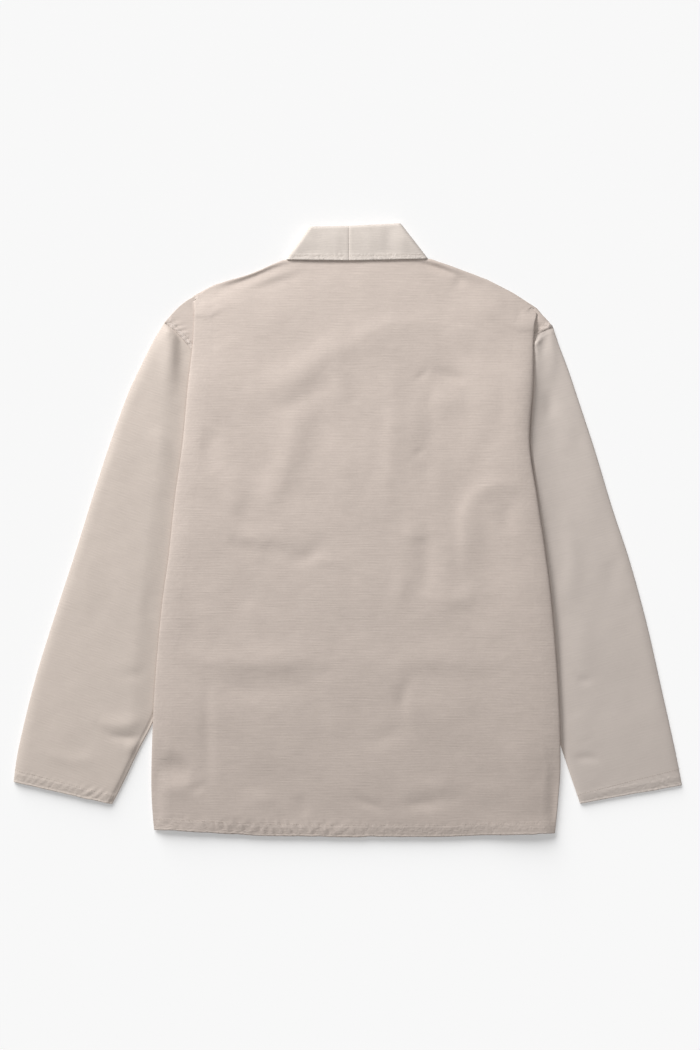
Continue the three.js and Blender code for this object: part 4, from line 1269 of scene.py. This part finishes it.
def lit_only(lamp, pieces):
    """Keep a lamp's light to these pieces; everything still throws its shadow."""
    receivers = bpy.data.collections.new(lamp.name + "_receivers")
    for piece in pieces:
        receivers.objects.link(piece)
    lamp.light_linking.receiver_collection = receivers


def place_lamp(data, light):
    """A lamp that points at the middle of the floor."""
    data.energy = light["power"]
    lamp = add_object(data.name, data)
    lamp.location = light["place"]
    lamp.rotation_euler = (-lamp.location).to_track_quat("-Z", "Y").to_euler()
    return lamp


def make_floor():
    corners = [(x * FLOOR_HALF, y * FLOOR_HALF, 0) for x, y in ((-1, -1), (1, -1), (1, 1), (-1, 1))]
    floor = mesh_object("floor", corners, [(0, 1, 2, 3)])
    floor.data.materials.append(floor_finish())
    floor.location.z = -0.0002
    return floor


def light_stage(shirt, floor):
    for name, light in SHIRT_LAMPS.items():
        data = bpy.data.lights.new(name, "AREA")
        data.shape = "DISK"
        data.size = light["size"]
        lit_only(place_lamp(data, light), shirt)
    data = bpy.data.lights.new("floor_lamp", "SUN")
    data.angle = math.radians(FLOOR_LAMP["angle"])
    lit_only(place_lamp(data, FLOOR_LAMP), [floor])
    world = bpy.data.worlds.new("room")
    world.use_nodes = True
    backdrop = world.node_tree.nodes["Background"]
    backdrop.inputs["Color"].default_value = (1, 1, 1, 1)
    backdrop.inputs["Strength"].default_value = SKY
    bpy.context.scene.world = world
    bpy.context.scene.view_settings.view_transform = "Standard"


def make_camera():
    data = bpy.data.cameras.new("camera")
    data.sensor_fit = "VERTICAL"
    data.sensor_height = data.sensor_width = SENSOR
    data.lens = SENSOR * CAMERA_HEIGHT / VIEW_LONG
    camera = add_object("camera", data)
    camera.location = (*VIEW_CENTRE, CAMERA_HEIGHT)
    bpy.context.scene.camera = camera


# Putting it together.

def finish_piece(obj, node, material, sheet=None):
    obj.data.materials.append(material)
    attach(obj, "root")
    if node:
        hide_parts(node)
    if sheet:
        flat, area, rests_on = sheet
        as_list(rests_on)
    return obj


def cloth_parts():
    """Each part's name, its cloth, its object and its runs of stitches."""
    yield "back", "body", *make_back()
    for side in SIDES:
        yield "front_" + side, "body", *make_front(side)
        yield "sleeve_" + side, "sleeve_" + side, *make_sleeve(side)
        yield "collar_" + side, "collar", *make_collar(side)
        yield "pocket_" + side, "body", *make_pocket(side)


def make_shirt():
    thread = thread_finish("thread", (0.6, 0.52, 0.455), (0.42, 0.36, 0.31))
    cloths = {name: cotton("cotton_" + name, tone, GRAIN[name]) for name, tone in STONE.items()}
    pieces = []
    for seed, (node, cloth, obj, runs) in enumerate(cloth_parts()):
        stitches = sewn("stitches_" + node, runs, 100 + seed)
        pieces.append(finish_piece(stitches, None, thread))
        pieces.append(finish_piece(obj, node, cloths[cloth], SHEETS[obj.name]))
    resin = resin_finish("resin")
    form = button_mesh()
    for number in range(1, BUTTON["count"] + 1):
        pieces.append(finish_piece(make_button(number, form), f"button_{number}", resin))
    pieces.append(finish_piece(button_threads(), None, thread))
    return pieces


make_camera()
ground = make_floor()
light_stage(make_shirt(), ground)
